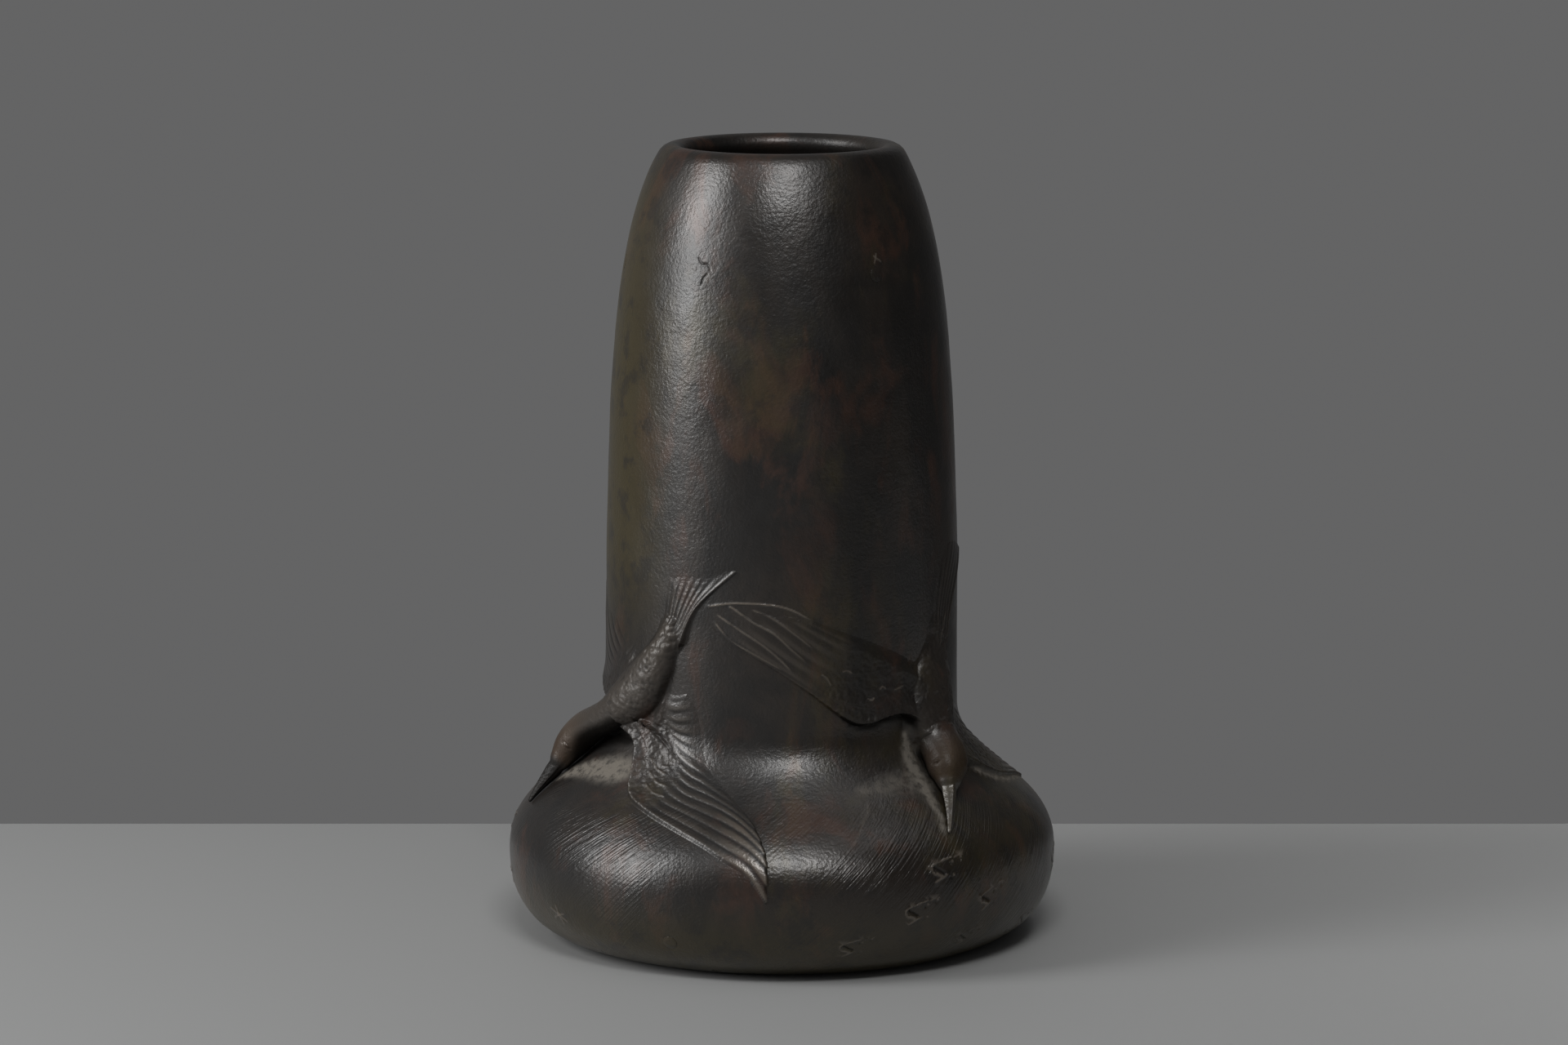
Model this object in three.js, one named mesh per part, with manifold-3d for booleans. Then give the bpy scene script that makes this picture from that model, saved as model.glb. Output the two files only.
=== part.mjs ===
// Bronze vase: a straight neck over a cushion-shaped foot, with two diving birds in relief.
// Millimetres, +Z up. The vase stands on z = 0, its axis is Z and its front looks along -Y.
import * as THREE from 'three';
import { mergeVertices } from 'three/addons/utils/BufferGeometryUtils.js';
import Module from 'manifold-3d';

const wasm = await Module();
wasm.setup();

// Driving dimensions of the vase's outline
const HEIGHT = 245;
const MOUTH_RADIUS = 33.5;
const LIP_OUTER_ROUND = 4.9;
const LIP_INNER_ROUND = 3.5;
const LIP_ANGLE = 61;
const TAPER_LIP_PULL = 23.9;
const TAPER_NECK_PULL = 97.7;
const NECK_RADIUS = 54.4;
const NECK_FOOT_HEIGHT = 71.5;
const NECK_STRAIGHT = 17;
const SHOULDER_RADIUS = 67.2;
const SHOULDER_HEIGHT = 51.8;
const SHOULDER_SLOPE = 42;
const SHOULDER_PULL_UP = 7;
const SHOULDER_PULL_DOWN = 10;
const NECK_FILLET_PULL = 9;
const BULB_RADIUS = 85;
const BULB_HEIGHT = 25.5;
const BULB_PULL_UP = 14.2;
const BULB_PULL_DOWN = 18.5;
const FOOT_RADIUS = 61;
const FOOT_PULL = 13;

// Wall, foot ring and the bottom plate that is let into it from below
const WALL = 4;
const INNER_LIP_PULL = 9;
const RECESS_RADIUS = 53;
const RECESS_DEPTH = 5;
const LEDGE_WIDTH = 4;
const LEDGE_THICKNESS = 2.5;
const PLATE_THICKNESS = 2.5;
const SOLDER_WIDTH = 1.8;
const SOLDER_DROP = 1.5;

// Fit between neighbours, and the small round pieces
const CLEARANCE = 0.3;
const RIVET_RADIUS = 1.25;
const RIVET_HEAD_RADIUS = 2.4;
const RIVET_HEAD_THICKNESS = 1.4;
const RIVET_GRIP = 2.8;
const PLUG_RADIUS = 2.2;

// Holes are drilled past both faces of the wall by this much
const DRILL_OVERRUN = 4;

// The inner skin keeps this far above the floor, and its top points give way to the curve into the lip
const FLOOR_MARGIN = 1;
const INNER_SKIN_TRIM = 2;

// Fineness: steps round the axis and along each curve of the outline, from the foot to the lip
const TURN_STEPS = 60;
const OUTLINE_STEPS = [7, 5, 6, 1, 9, 3];
const WALL_STEPS = [4, 3, 4, 1, 6];
const INNER_LIP_STEPS = 3;
const INNER_TAPER_STEPS = 4;
const ROUND_STEPS = 12;
const SECTION_STEPS = 12;
const SPINE_STEPS = 22;
const WING_STEPS = 14;
const CHORD_STEPS = 4;
const TANGENT_STEP = 0.01;
const WELD_DISTANCE = 1e-4;

// Relief: a wing's root is buried this deep before the vase's surface is cut away
const BURIED = 1.6;
const AXIS_OVERLAP = 2;

// Places on the vase are [angle, rise]: the angle in degrees round the axis from the front
// towards +X, the rise in millimetres along the outline from the foot of the straight neck.
// A bird's spine adds lift, half width and half height; an edge of a wing adds its thickness.
const LEFT_BIRD = {
  name: 'bird_left',
  spine: [
    [-37, 30, -0.8, 4.0, 2.4],
    [-39.5, 24, -0.3, 6.5, 4.0],
    [-44, 16, 0.3, 9.0, 5.2],
    [-51, 8, 1.0, 11.0, 6.0],
    [-61, -1, 3.0, 9.5, 6.6],
    [-69.5, -6.5, 5.0, 8.0, 6.6],
    [-77, -13, 6.2, 7.0, 6.6],
    [-80, -19.5, 4.6, 5.6, 5.4],
    [-80.5, -25.5, 3.0, 2.8, 2.8],
    [-80.5, -40, 0.8, 0.5, 0.5],
  ],
  blades: [
    // the wing that crosses the front of the bulb
    {
      leading: [
        [-58, 2, 5], [-52.5, -8.7, 4.2], [-47.5, -19.5, 3.4], [-32, -29.7, 2.2], [-20.2, -35.5, 1.6],
        [-9.8, -44.5, 1.2], [-2.5, -54.5, 0.8],
      ],
      trailing: [
        [-40, 16, 4], [-27, 15, 1.2], [-18, 3.3, 1], [-15, -7.7, 1], [-12, -17.2, 1],
        [-5.5, -31, 0.9], [-1.6, -50, 0.8],
      ],
    },
    // the far wing, carried round the side of the neck
    {
      leading: [
        [-62, 2, 4.5], [-74, 4, 3], [-88, 8, 2.2], [-108, 15, 1.6], [-130, 27, 1.2], [-148, 43, 0.9],
      ],
      trailing: [
        [-44, 29, 2.4], [-56, 34, 1.2], [-78, 34, 1.2], [-104, 41, 1], [-128, 47, 0.9], [-147, 49, 0.9],
      ],
    },
    // the fanned tail
    {
      leading: [[-34.5, 24, 2.4], [-29, 36, 1.6], [-22, 43, 1.2], [-14.8, 49.5, 0.9]],
      trailing: [[-40.5, 24, 2.4], [-40.5, 34, 1.6], [-41, 41, 1.2], [-40, 47, 0.9]],
    },
  ],
  rivets: [[-45, 14], [-52, 6]],
};

const RIGHT_BIRD = {
  name: 'bird_right',
  spine: [
    [59.5, 26, -0.8, 4.0, 2.4],
    [58, 20, -0.3, 6.5, 4.0],
    [56.5, 13, 0.3, 9.0, 5.2],
    [54.5, 6, 1.0, 10.5, 6.0],
    [52.8, -2, 2.8, 8.6, 6.4],
    [52, -8, 4.4, 7.4, 6.4],
    [50.8, -14.5, 5.2, 6.9, 6.4],
    [48.3, -20.5, 4.0, 5.4, 5.2],
    [45.8, -26, 2.8, 2.6, 2.7],
    [39.8, -39, 0.8, 0.5, 0.5],
  ],
  blades: [
    // the wing swept back across the front of the neck
    {
      leading: [
        [54, -4, 5], [46, 0, 4], [39.5, 4.2, 3], [29, 2.2, 2.4], [17.5, 7, 1.6],
        [-7.3, 21.3, 1], [-23.4, 37, 0.8],
      ],
      trailing: [
        [56, 18, 3], [44, 22, 1.4], [31, 27.5, 1], [13.8, 34.5, 0.9], [0.5, 38.5, 0.8],
        [-12, 40, 0.8], [-23, 38.6, 0.8],
      ],
    },
    // the wing carried over the shoulder to the right
    {
      leading: [
        [56, -8, 5], [66, -14, 4.2], [75, -23, 3.6], [90, -31, 3.2], [108, -37, 2.2],
        [124, -45, 1.4], [138, -55, 0.9],
      ],
      trailing: [
        [60, 14, 3], [72, 8, 1.4], [86, -4, 1.2], [102, -14, 1], [118, -26, 1],
        [132, -42, 0.9], [139, -52, 0.9],
      ],
    },
    // the fanned tail, lying up the neck
    {
      leading: [[56, 20, 2.4], [57, 30, 1.6], [59, 40, 1.2], [61, 50, 0.9]],
      trailing: [[62, 20, 2.4], [68, 30, 1.6], [77, 40, 1.2], [87, 50, 0.9]],
    },
  ],
  rivets: [[56, 12], [54.5, 4]],
};

// Core pins are drawn after casting and their holes plugged: three high, measured down from the
// lip's crest, and three low, measured up from the foot, both along the outline
const PLUG_COUNT = 3;
const UPPER_PLUG_ANGLE = 36;
const UPPER_PLUG_DROP = 40.3;
const LOWER_PLUG_ANGLE = 96;
const LOWER_PLUG_CLIMB = 26.2;

const bronze = new THREE.MeshStandardMaterial({ color: 0x3a302a, roughness: 0.42, metalness: 0.85 });
const plateBronze = new THREE.MeshStandardMaterial({ color: 0x5a4630, roughness: 0.6, metalness: 0.8 });
const solder = new THREE.MeshStandardMaterial({ color: 0x77736c, roughness: 0.55, metalness: 0.9 });
const rivetBronze = new THREE.MeshStandardMaterial({ color: 0x6b5434, roughness: 0.5, metalness: 0.85 });
const plugBronze = new THREE.MeshStandardMaterial({ color: 0x40362c, roughness: 0.45, metalness: 0.85 });

const radians = THREE.MathUtils.degToRad;

// A curve of the outline between two points, each pulled along its own direction
function sweep(start, startPull, end, endPull) {
  return new THREE.CubicBezierCurve(start, start.clone().add(startPull), end.clone().add(endPull), end);
}

// The outline from the outer edge of the foot to the crest of the lip, in (radius, height)
function vaseOutline() {
  const lip = radians(LIP_ANGLE);
  const slope = radians(SHOULDER_SLOPE);
  const foot = new THREE.Vector2(FOOT_RADIUS, 0);
  const widest = new THREE.Vector2(BULB_RADIUS, BULB_HEIGHT);
  const shoulder = new THREE.Vector2(SHOULDER_RADIUS, SHOULDER_HEIGHT);
  const neckFoot = new THREE.Vector2(NECK_RADIUS, NECK_FOOT_HEIGHT);
  const neckTop = new THREE.Vector2(NECK_RADIUS, NECK_FOOT_HEIGHT + NECK_STRAIGHT);
  const lipCentre = new THREE.Vector2(MOUTH_RADIUS, HEIGHT - LIP_OUTER_ROUND);
  const lipStart = new THREE.Vector2(Math.sin(lip), Math.cos(lip)).multiplyScalar(LIP_OUTER_ROUND).add(lipCentre);
  const uphill = new THREE.Vector2(-Math.cos(slope), Math.sin(slope));
  const up = new THREE.Vector2(0, 1);
  const outward = new THREE.Vector2(1, 0);
  const belowLip = new THREE.Vector2(Math.cos(lip), -Math.sin(lip));

  const lower = new THREE.CurvePath();
  lower.add(sweep(foot, outward.multiplyScalar(FOOT_PULL), widest, up.clone().multiplyScalar(-BULB_PULL_DOWN)));
  lower.add(sweep(widest, up.clone().multiplyScalar(BULB_PULL_UP),
    shoulder, uphill.clone().multiplyScalar(-SHOULDER_PULL_DOWN)));
  lower.add(sweep(shoulder, uphill.clone().multiplyScalar(SHOULDER_PULL_UP),
    neckFoot, up.clone().multiplyScalar(-NECK_FILLET_PULL)));

  const whole = new THREE.CurvePath();
  lower.curves.forEach((curve) => whole.add(curve));
  whole.add(new THREE.LineCurve(neckFoot, neckTop));
  whole.add(sweep(neckTop, up.clone().multiplyScalar(TAPER_NECK_PULL),
    lipStart, belowLip.multiplyScalar(TAPER_LIP_PULL)));
  whole.add(new THREE.EllipseCurve(lipCentre.x, lipCentre.y, LIP_OUTER_ROUND, LIP_OUTER_ROUND,
    Math.PI / 2 - lip, Math.PI / 2));
  return { whole, lowerLength: lower.getLength() };
}

const outline = vaseOutline();
const outlineLength = outline.whole.getLength();

// The outward direction across a curve of the outline, which runs from the foot to the mouth
function across(tangent) {
  return new THREE.Vector2(tangent.y, -tangent.x);
}

// Points along the outline's curves, moved out of the metal by lift, without repeated ends
function outlinePoints(steps, lift) {
  const points = [];
  steps.forEach((count, index) => {
    const curve = outline.whole.curves[index];
    for (let step = index === 0 ? 0 : 1; step <= count; step += 1) {
      const normal = across(curve.getTangent(step / count));
      points.push(curve.getPoint(step / count).addScaledVector(normal, lift));
    }
  });
  return points;
}

// The point and outward direction at a place on the vase, moved out by lift
function onVase(angle, rise, lift = 0) {
  const share = (outline.lowerLength + rise) / outlineLength;
  const at = outline.whole.getPoint(share);
  const normal = across(outline.whole.getTangent(share));
  at.addScaledVector(normal, lift);
  const side = Math.sin(radians(angle));
  const front = -Math.cos(radians(angle));
  return {
    point: new THREE.Vector3(at.x * side, at.x * front, at.y),
    normal: new THREE.Vector3(normal.x * side, normal.x * front, normal.y).normalize(),
  };
}

// A body of revolution about Z from a closed outline in (radius, height)
function turned(points, steps = TURN_STEPS) {
  const closed = [...points, points[0].clone()];
  return new THREE.LatheGeometry(closed, steps).rotateX(Math.PI / 2);
}

function toSolid(geometry) {
  const bare = geometry.clone();
  bare.deleteAttribute('normal');
  bare.deleteAttribute('uv');
  const merged = mergeVertices(bare, WELD_DISTANCE);
  return new wasm.Manifold(new wasm.Mesh({
    numProp: 3,
    vertProperties: new Float32Array(merged.attributes.position.array),
    triVerts: new Uint32Array(merged.index.array),
  }));
}

function toGeometry(solid) {
  const mesh = solid.getMesh();
  const geometry = new THREE.BufferGeometry();
  geometry.setAttribute('position', new THREE.BufferAttribute(new Float32Array(mesh.vertProperties), 3));
  geometry.setIndex(new THREE.BufferAttribute(new Uint32Array(mesh.triVerts), 1));
  geometry.computeVertexNormals();
  return geometry;
}

// A closed skin over a row of rings with equal counts of points; each end is closed rung by rung
function loft(rings) {
  const count = rings[0].length;
  const positions = rings.flat().flatMap((point) => [point.x, point.y, point.z]);
  const faces = [];
  for (let ring = 0; ring + 1 < rings.length; ring += 1) {
    for (let spot = 0; spot < count; spot += 1) {
      const here = ring * count + spot;
      const beside = ring * count + (spot + 1) % count;
      faces.push(here, beside, beside + count, here, beside + count, here + count);
    }
  }
  const last = (rings.length - 1) * count;
  for (let rung = 0; rung + 1 < count / 2; rung += 1) {
    const far = count - 1 - rung;
    faces.push(rung, far, far - 1, rung, far - 1, rung + 1);
    faces.push(last + rung, last + far - 1, last + far, last + rung, last + rung + 1, last + far - 1);
  }
  const geometry = new THREE.BufferGeometry();
  geometry.setAttribute('position', new THREE.Float32BufferAttribute(positions, 3));
  geometry.setIndex(faces);
  return geometry;
}

// A wing or tail: a thin blade between two edges that lie along the vase's surface
function blade({ leading, trailing }) {
  const edge = (places) => new THREE.CatmullRomCurve3(places.map((place) => new THREE.Vector3(...place)));
  const front = edge(leading);
  const back = edge(trailing);
  const rings = [];
  for (let step = 0; step <= WING_STEPS; step += 1) {
    const start = front.getPoint(step / WING_STEPS);
    const end = back.getPoint(step / WING_STEPS);
    const top = [];
    const under = [];
    for (let chord = 0; chord <= CHORD_STEPS; chord += 1) {
      const place = start.clone().lerp(end, chord / CHORD_STEPS);
      top.push(onVase(place.x, place.y, place.z).point);
      under.unshift(onVase(place.x, place.y, -BURIED).point);
    }
    rings.push([...top, ...under]);
  }
  return rings;
}

// A bird's body, neck, head and beak: oval sections along the spine
function birdBody(spine) {
  const line = new THREE.CatmullRomCurve3(
    spine.map(([angle, rise, lift]) => new THREE.Vector3(angle, rise, lift)),
  );
  const girth = new THREE.CatmullRomCurve3(
    spine.map(([, , , width, height]) => new THREE.Vector3(width, height, 0)),
  );
  const centre = (share) => {
    const place = line.getPoint(THREE.MathUtils.clamp(share, 0, 1));
    return onVase(place.x, place.y, place.z);
  };
  const rings = [];
  for (let step = 0; step <= SPINE_STEPS; step += 1) {
    const share = step / SPINE_STEPS;
    const { point, normal } = centre(share);
    const ahead = centre(share + TANGENT_STEP).point;
    const along = ahead.sub(centre(share - TANGENT_STEP).point).normalize();
    const side = new THREE.Vector3().crossVectors(along, normal).normalize();
    const up = new THREE.Vector3().crossVectors(side, along);
    const size = girth.getPoint(share);
    const ring = [];
    for (let spot = 0; spot < SECTION_STEPS; spot += 1) {
      const turn = ((spot + 0.5) / SECTION_STEPS) * 2 * Math.PI;
      ring.push(point.clone()
        .addScaledVector(up, Math.cos(turn) * size.y)
        .addScaledVector(side, Math.sin(turn) * size.x));
    }
    rings.push(ring);
  }
  return rings;
}

// The loft's faces point out whichever way its rings run
function loftSolid(rings) {
  const geometry = loft(rings);
  let volume = 0;
  const corner = (spot) => new THREE.Vector3().fromBufferAttribute(geometry.attributes.position, spot);
  const faces = Array.from(geometry.index.array);
  for (let face = 0; face < faces.length; face += 3) {
    volume += corner(faces[face]).dot(corner(faces[face + 1]).cross(corner(faces[face + 2])));
  }
  if (volume < 0) geometry.setIndex(faces.reverse());
  return toSolid(geometry);
}

// A small turned piece on an axis through a place, from its outline in (radius, distance)
function turnedAt([angle, rise], from, points) {
  const { point, normal } = onVase(angle, rise, from);
  const section = points.map(([radius, along]) => new THREE.Vector2(radius, along));
  const geometry = new THREE.LatheGeometry(section, ROUND_STEPS);
  const turn = new THREE.Quaternion().setFromUnitVectors(new THREE.Vector3(0, 1, 0), normal);
  return geometry.applyQuaternion(turn).translate(point.x, point.y, point.z);
}

const pinPoints = (radius, length) => [[0, 0], [radius, 0], [radius, length], [0, length]];

const rivetPoints = [
  [0, 0],
  [RIVET_HEAD_RADIUS, 0],
  [RIVET_HEAD_RADIUS, RIVET_HEAD_THICKNESS],
  [RIVET_RADIUS, RIVET_HEAD_THICKNESS],
  [RIVET_RADIUS, RIVET_HEAD_THICKNESS + CLEARANCE + WALL + RIVET_GRIP],
  [0, RIVET_HEAD_THICKNESS + CLEARANCE + WALL + RIVET_GRIP],
];
const rivetStart = -WALL - CLEARANCE - RIVET_HEAD_THICKNESS;

function rivetHole(place) {
  const start = WALL + DRILL_OVERRUN;
  const length = start + RIVET_GRIP + CLEARANCE;
  return toSolid(turnedAt(place, -start, pinPoints(RIVET_RADIUS + CLEARANCE, length)));
}

function plugHole(place) {
  const start = WALL + DRILL_OVERRUN;
  return toSolid(turnedAt(place, -start, pinPoints(PLUG_RADIUS + CLEARANCE, start + DRILL_OVERRUN)));
}

function plugRow(angle, rise) {
  return Array.from({ length: PLUG_COUNT }, (_, index) => [angle + index * (360 / PLUG_COUNT), rise]);
}

const plugPlaces = [
  ...plugRow(UPPER_PLUG_ANGLE, outlineLength - outline.lowerLength - UPPER_PLUG_DROP),
  ...plugRow(LOWER_PLUG_ANGLE, LOWER_PLUG_CLIMB - outline.lowerLength),
];

// The cast shell: outer skin, rounded lip, inner skin, ledge and recess for the bottom plate
function vaseBody() {
  const floor = RECESS_DEPTH + LEDGE_THICKNESS;
  const ledge = RECESS_RADIUS - LEDGE_WIDTH;
  const outer = outlinePoints(OUTLINE_STEPS, 0);
  const lipEnd = new THREE.Vector2(MOUTH_RADIUS - LIP_INNER_ROUND, HEIGHT - LIP_INNER_ROUND);
  const innerLip = new THREE.EllipseCurve(MOUTH_RADIUS, lipEnd.y, LIP_INNER_ROUND, LIP_INNER_ROUND,
    Math.PI / 2, Math.PI).getPoints(INNER_LIP_STEPS).slice(1);
  const innerSkin = outlinePoints(WALL_STEPS, -WALL)
    .slice(0, -INNER_SKIN_TRIM)
    .filter((point) => point.y > floor + FLOOR_MARGIN)
    .reverse();
  const top = innerSkin[0];
  const rising = innerSkin[0].clone().sub(innerSkin[1]).normalize();
  const innerTaper = sweep(lipEnd, new THREE.Vector2(0, -INNER_LIP_PULL),
    top, rising.multiplyScalar(INNER_LIP_PULL)).getPoints(INNER_TAPER_STEPS).slice(1, -1);
  const lowest = innerSkin[innerSkin.length - 1];
  const points = [
    new THREE.Vector2(RECESS_RADIUS, 0),
    ...outer,
    ...innerLip,
    ...innerTaper,
    ...innerSkin,
    new THREE.Vector2(lowest.x - WALL, floor),
    new THREE.Vector2(ledge, floor),
    new THREE.Vector2(ledge, RECESS_DEPTH),
    new THREE.Vector2(RECESS_RADIUS, RECESS_DEPTH),
  ];
  let solid = toSolid(turned(points));
  [...LEFT_BIRD.rivets, ...RIGHT_BIRD.rivets].forEach((place) => {
    solid = solid.subtract(rivetHole(place));
  });
  plugPlaces.forEach((place) => {
    solid = solid.subtract(plugHole(place));
  });
  return toGeometry(solid);
}

// Everything inside the vase's outer skin and a hair beyond it: what a bird's back is cut by
function vaseSpace() {
  const skin = outlinePoints(OUTLINE_STEPS, CLEARANCE);
  const points = [new THREE.Vector2(0, -AXIS_OVERLAP), new THREE.Vector2(FOOT_RADIUS, -AXIS_OVERLAP), ...skin,
    new THREE.Vector2(0, HEIGHT + AXIS_OVERLAP)];
  return toSolid(turned(points));
}

// One applied casting: body, head, beak, both wings and tail, seated on the vase's skin
function bird({ spine, blades, rivets }) {
  let solid = loftSolid(birdBody(spine));
  blades.forEach((edges) => {
    solid = solid.add(loftSolid(blade(edges)));
  });
  solid = solid.subtract(vaseSpace());
  rivets.forEach((place) => {
    solid = solid.subtract(rivetHole(place));
  });
  return toGeometry(solid);
}

// The round plate that closes the foot, pushed up against the ledge
const plateTop = RECESS_DEPTH - CLEARANCE;
const plateRadius = RECESS_RADIUS - CLEARANCE;

function bottomPlate() {
  return new THREE.CylinderGeometry(plateRadius, plateRadius, PLATE_THICKNESS, TURN_STEPS)
    .rotateX(Math.PI / 2)
    .translate(0, 0, plateTop - PLATE_THICKNESS / 2);
}

// The fillet of solder in the corner between plate and foot ring
function solderRing() {
  const top = plateTop - PLATE_THICKNESS - CLEARANCE;
  return turned([
    new THREE.Vector2(plateRadius, top - SOLDER_DROP),
    new THREE.Vector2(plateRadius, top),
    new THREE.Vector2(plateRadius - SOLDER_WIDTH, top),
  ]);
}

function piece(name, geometry, material) {
  const mesh = new THREE.Mesh(geometry, material);
  mesh.name = name;
  return mesh;
}

const vase = new THREE.Group();
vase.add(piece('vase_body', vaseBody(), bronze));
vase.add(piece('bottom_plate', bottomPlate(), plateBronze));
vase.add(piece('solder_ring', solderRing(), solder));

[LEFT_BIRD, RIGHT_BIRD].forEach((figure) => {
  vase.add(piece(figure.name, bird(figure), bronze));
  figure.rivets.forEach((place, index) => {
    vase.add(piece(`${figure.name}_rivet_${index + 1}`, turnedAt(place, rivetStart, rivetPoints), rivetBronze));
  });
});

plugPlaces.forEach((place, index) => {
  vase.add(piece(`core_plug_${index + 1}`, turnedAt(place, -WALL, pinPoints(PLUG_RADIUS, WALL)), plugBronze));
});

export default vase;
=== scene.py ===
import math

import bmesh
import bpy
import numpy as np
from bpy.props import FloatProperty, FloatVectorProperty, PointerProperty
from bpy.types import Operator, Panel, PropertyGroup
from mathutils import Matrix, Vector


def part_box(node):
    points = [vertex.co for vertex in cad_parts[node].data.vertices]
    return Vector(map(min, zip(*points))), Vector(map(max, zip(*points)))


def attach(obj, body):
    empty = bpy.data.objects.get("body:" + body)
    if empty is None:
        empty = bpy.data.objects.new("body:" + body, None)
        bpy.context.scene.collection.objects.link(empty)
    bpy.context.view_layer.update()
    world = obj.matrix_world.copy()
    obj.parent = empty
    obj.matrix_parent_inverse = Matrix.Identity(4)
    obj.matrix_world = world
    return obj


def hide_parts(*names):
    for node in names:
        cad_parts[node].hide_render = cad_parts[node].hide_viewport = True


bl_info = {
    "name": "Bronze Bird Vase",
    "version": (1, 0, 0),
    "blender": (4, 5, 0),
    "location": "View3D > Sidebar > Vase",
    "description": "Models a cast bronze vase with diving birds in relief, its finish and a studio",
    "category": "Add Mesh",
}

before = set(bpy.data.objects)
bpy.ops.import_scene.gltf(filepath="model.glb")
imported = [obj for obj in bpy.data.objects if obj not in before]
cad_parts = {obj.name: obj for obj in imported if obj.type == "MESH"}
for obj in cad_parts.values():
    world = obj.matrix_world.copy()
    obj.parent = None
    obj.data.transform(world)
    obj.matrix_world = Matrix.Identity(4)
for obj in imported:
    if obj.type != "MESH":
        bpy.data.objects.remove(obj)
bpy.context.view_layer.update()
MM = 0.001

# The vase's outline in millimetres, as the solid's: (radius, height) points and their pulls
VASE_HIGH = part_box("vase_body")[1]
HEIGHT = VASE_HIGH[2] / MM
BULB_RADIUS = VASE_HIGH[0] / MM
BULB_HEIGHT = 25.5
BULB_PULL_UP = 14.2
BULB_PULL_DOWN = 18.5
FOOT_RADIUS = 61
FOOT_PULL = 13
SHOULDER = (67.2, 51.8)
SHOULDER_SLOPE = math.radians(42)
SHOULDER_PULL_DOWN = 10
SHOULDER_PULL_UP = 7
NECK_RADIUS = 54.4
NECK_FOOT = 71.5
NECK_STRAIGHT = 17
NECK_FILLET_PULL = 9
TAPER_NECK_PULL = 97.7
TAPER_LIP_PULL = 23.9
MOUTH_RADIUS = 33.5
LIP_ROUND = 4.9
LIP_ANGLE = math.radians(61)
LIP_INNER_ROUND = 3.5
INNER_LIP_PULL = 9
INNER_TAPER = 48
WALL = 4
RECESS_RADIUS = 53
RECESS_DEPTH = 5
LEDGE_WIDTH = 4
LEDGE_THICKNESS = 2.5
FLOOR = RECESS_DEPTH + LEDGE_THICKNESS

# The bulb's mean radius, round which the brush strokes run
STROKE_RADIUS = 76

# Fineness of the meshes
CURVE_STEPS = 160
OUTER_SPACING = 1.5
INNER_SPACING = 3.2
INNER_LIP_STEPS = 9
BODY_TURN_STEPS = 256
CASTING_CELL = 1.12
CASTING_CUTS = 3
MARK_CUTS = 4
HEAD_TURN_STEPS = 80
HEAD_LENGTH_STEPS = 150

# The rise at which a casting's cells are square, its back's depth in the wall, the height over which
# its edge melts into the skin, and the fine seam round it
SQUARE_CELL_RISE = -10
BURIED = 1.8
MELT = 0.9
SEAM_DEPTH = 0.06

# How feathers are cut: where a crest rises and falls across a feather, the share of the quill over
# which the lines begin, a groove's depth against the spacing, and the tips' rounding
CREST_RISE = (0, 0.7)
CREST_FALL = (0.74, 1)
LINE_START = 0.16
GROOVE_LIMIT = 0.3
TIP_ROUND = 0.7

# The thin line along a leading edge, and the part of a wing that hands have rubbed: shares of the
# quill, heights of the crest and numbers of feathers
LEAD_LINE_INSET = 0.45
LEAD_LINE_WIDTH = 0.4
LEAD_LINE_START = (0.15, 0.3)
RUBBED_SHARES = (0.66, 0.9)
RUBBED_CRESTS = (0.2, 0.8)
RUBBED_FEATHERS = (8, 11)

# A head's features: shares of the bird's spine, and turns from its underside in radians
NECK_OVERLAP = 0.14
NECK_CLOSING = 0.03
BEAK_CLOSING = 0.008
EYE_SHARE = 0.765
EYE_TURN = 1.95
GAPE_TURN = 1.25
GAPE_WIDTH = 0.12
GAPE_BEGINS = (0.8, 0.86)
FEATHERS_END = (0.84, 0.88)
BEAK_ROOT = (0.87, 0.9)
BEAK_NOTCH = 0.885
NOTCH_WIDTH = 0.012

# A bird's spine and the head's radius in millimetres, which turn the eye's shares and turns to sizes
SPINE_LENGTH = 150
HEAD_RADIUS = 5

# Lumps as (height, size, seed) in millimetres: the wax model's dents, which end short of the foot
# and lip, and the stipples in the plumage
DENTS = ((0.22, 26, 1), (0.1, 11, 2), (0.035, 5, 3))
DENTS_FOOT = (-96, -85)
DENTS_LIP = (-12, -4)
COARSE_LUMPS = (2.6, 4)
STIPPLES = ((0.13, 1.15, 5), (0.08, 0.65, 6))

# A core plug's size, how far it stands out, its rounded edge and the seam round it
PLUG_RADIUS = 2.2
PLUG_PROUD = 0.03
PLUG_EDGE = 0.15
PLUG_SEAM = 0.14
PLUG_SEAM_WIDTH = 0.3

# How far round strokes, marks and plugs the mesh is fine
FINE_REACH = 2.2
FINE_MARGIN = 1.6
FINE_BEFORE_MARK = 2.5
FINE_PAST_MARK = 1

# The shares of a chased stroke over which it begins and ends
STROKE_BEGINS = (-0.03, 0.12)
STROKE_ENDS = (0.8, 1.03)

# Where chasing is painted lighter or darker: heights of ridges painted as rubbed metal, depths of pits
# that get painted shade, and the depth below the lip at which the inside is painted with shade
BODY_RIDGES = (0.05, 0.17)
BIRD_RIDGES = (0.06, 0.18)
BODY_PITS = (0.12, 0.6)
BIRD_PITS = (0.03, 0.2)
DARK_INSIDE = (1.5, 4.5)

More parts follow.
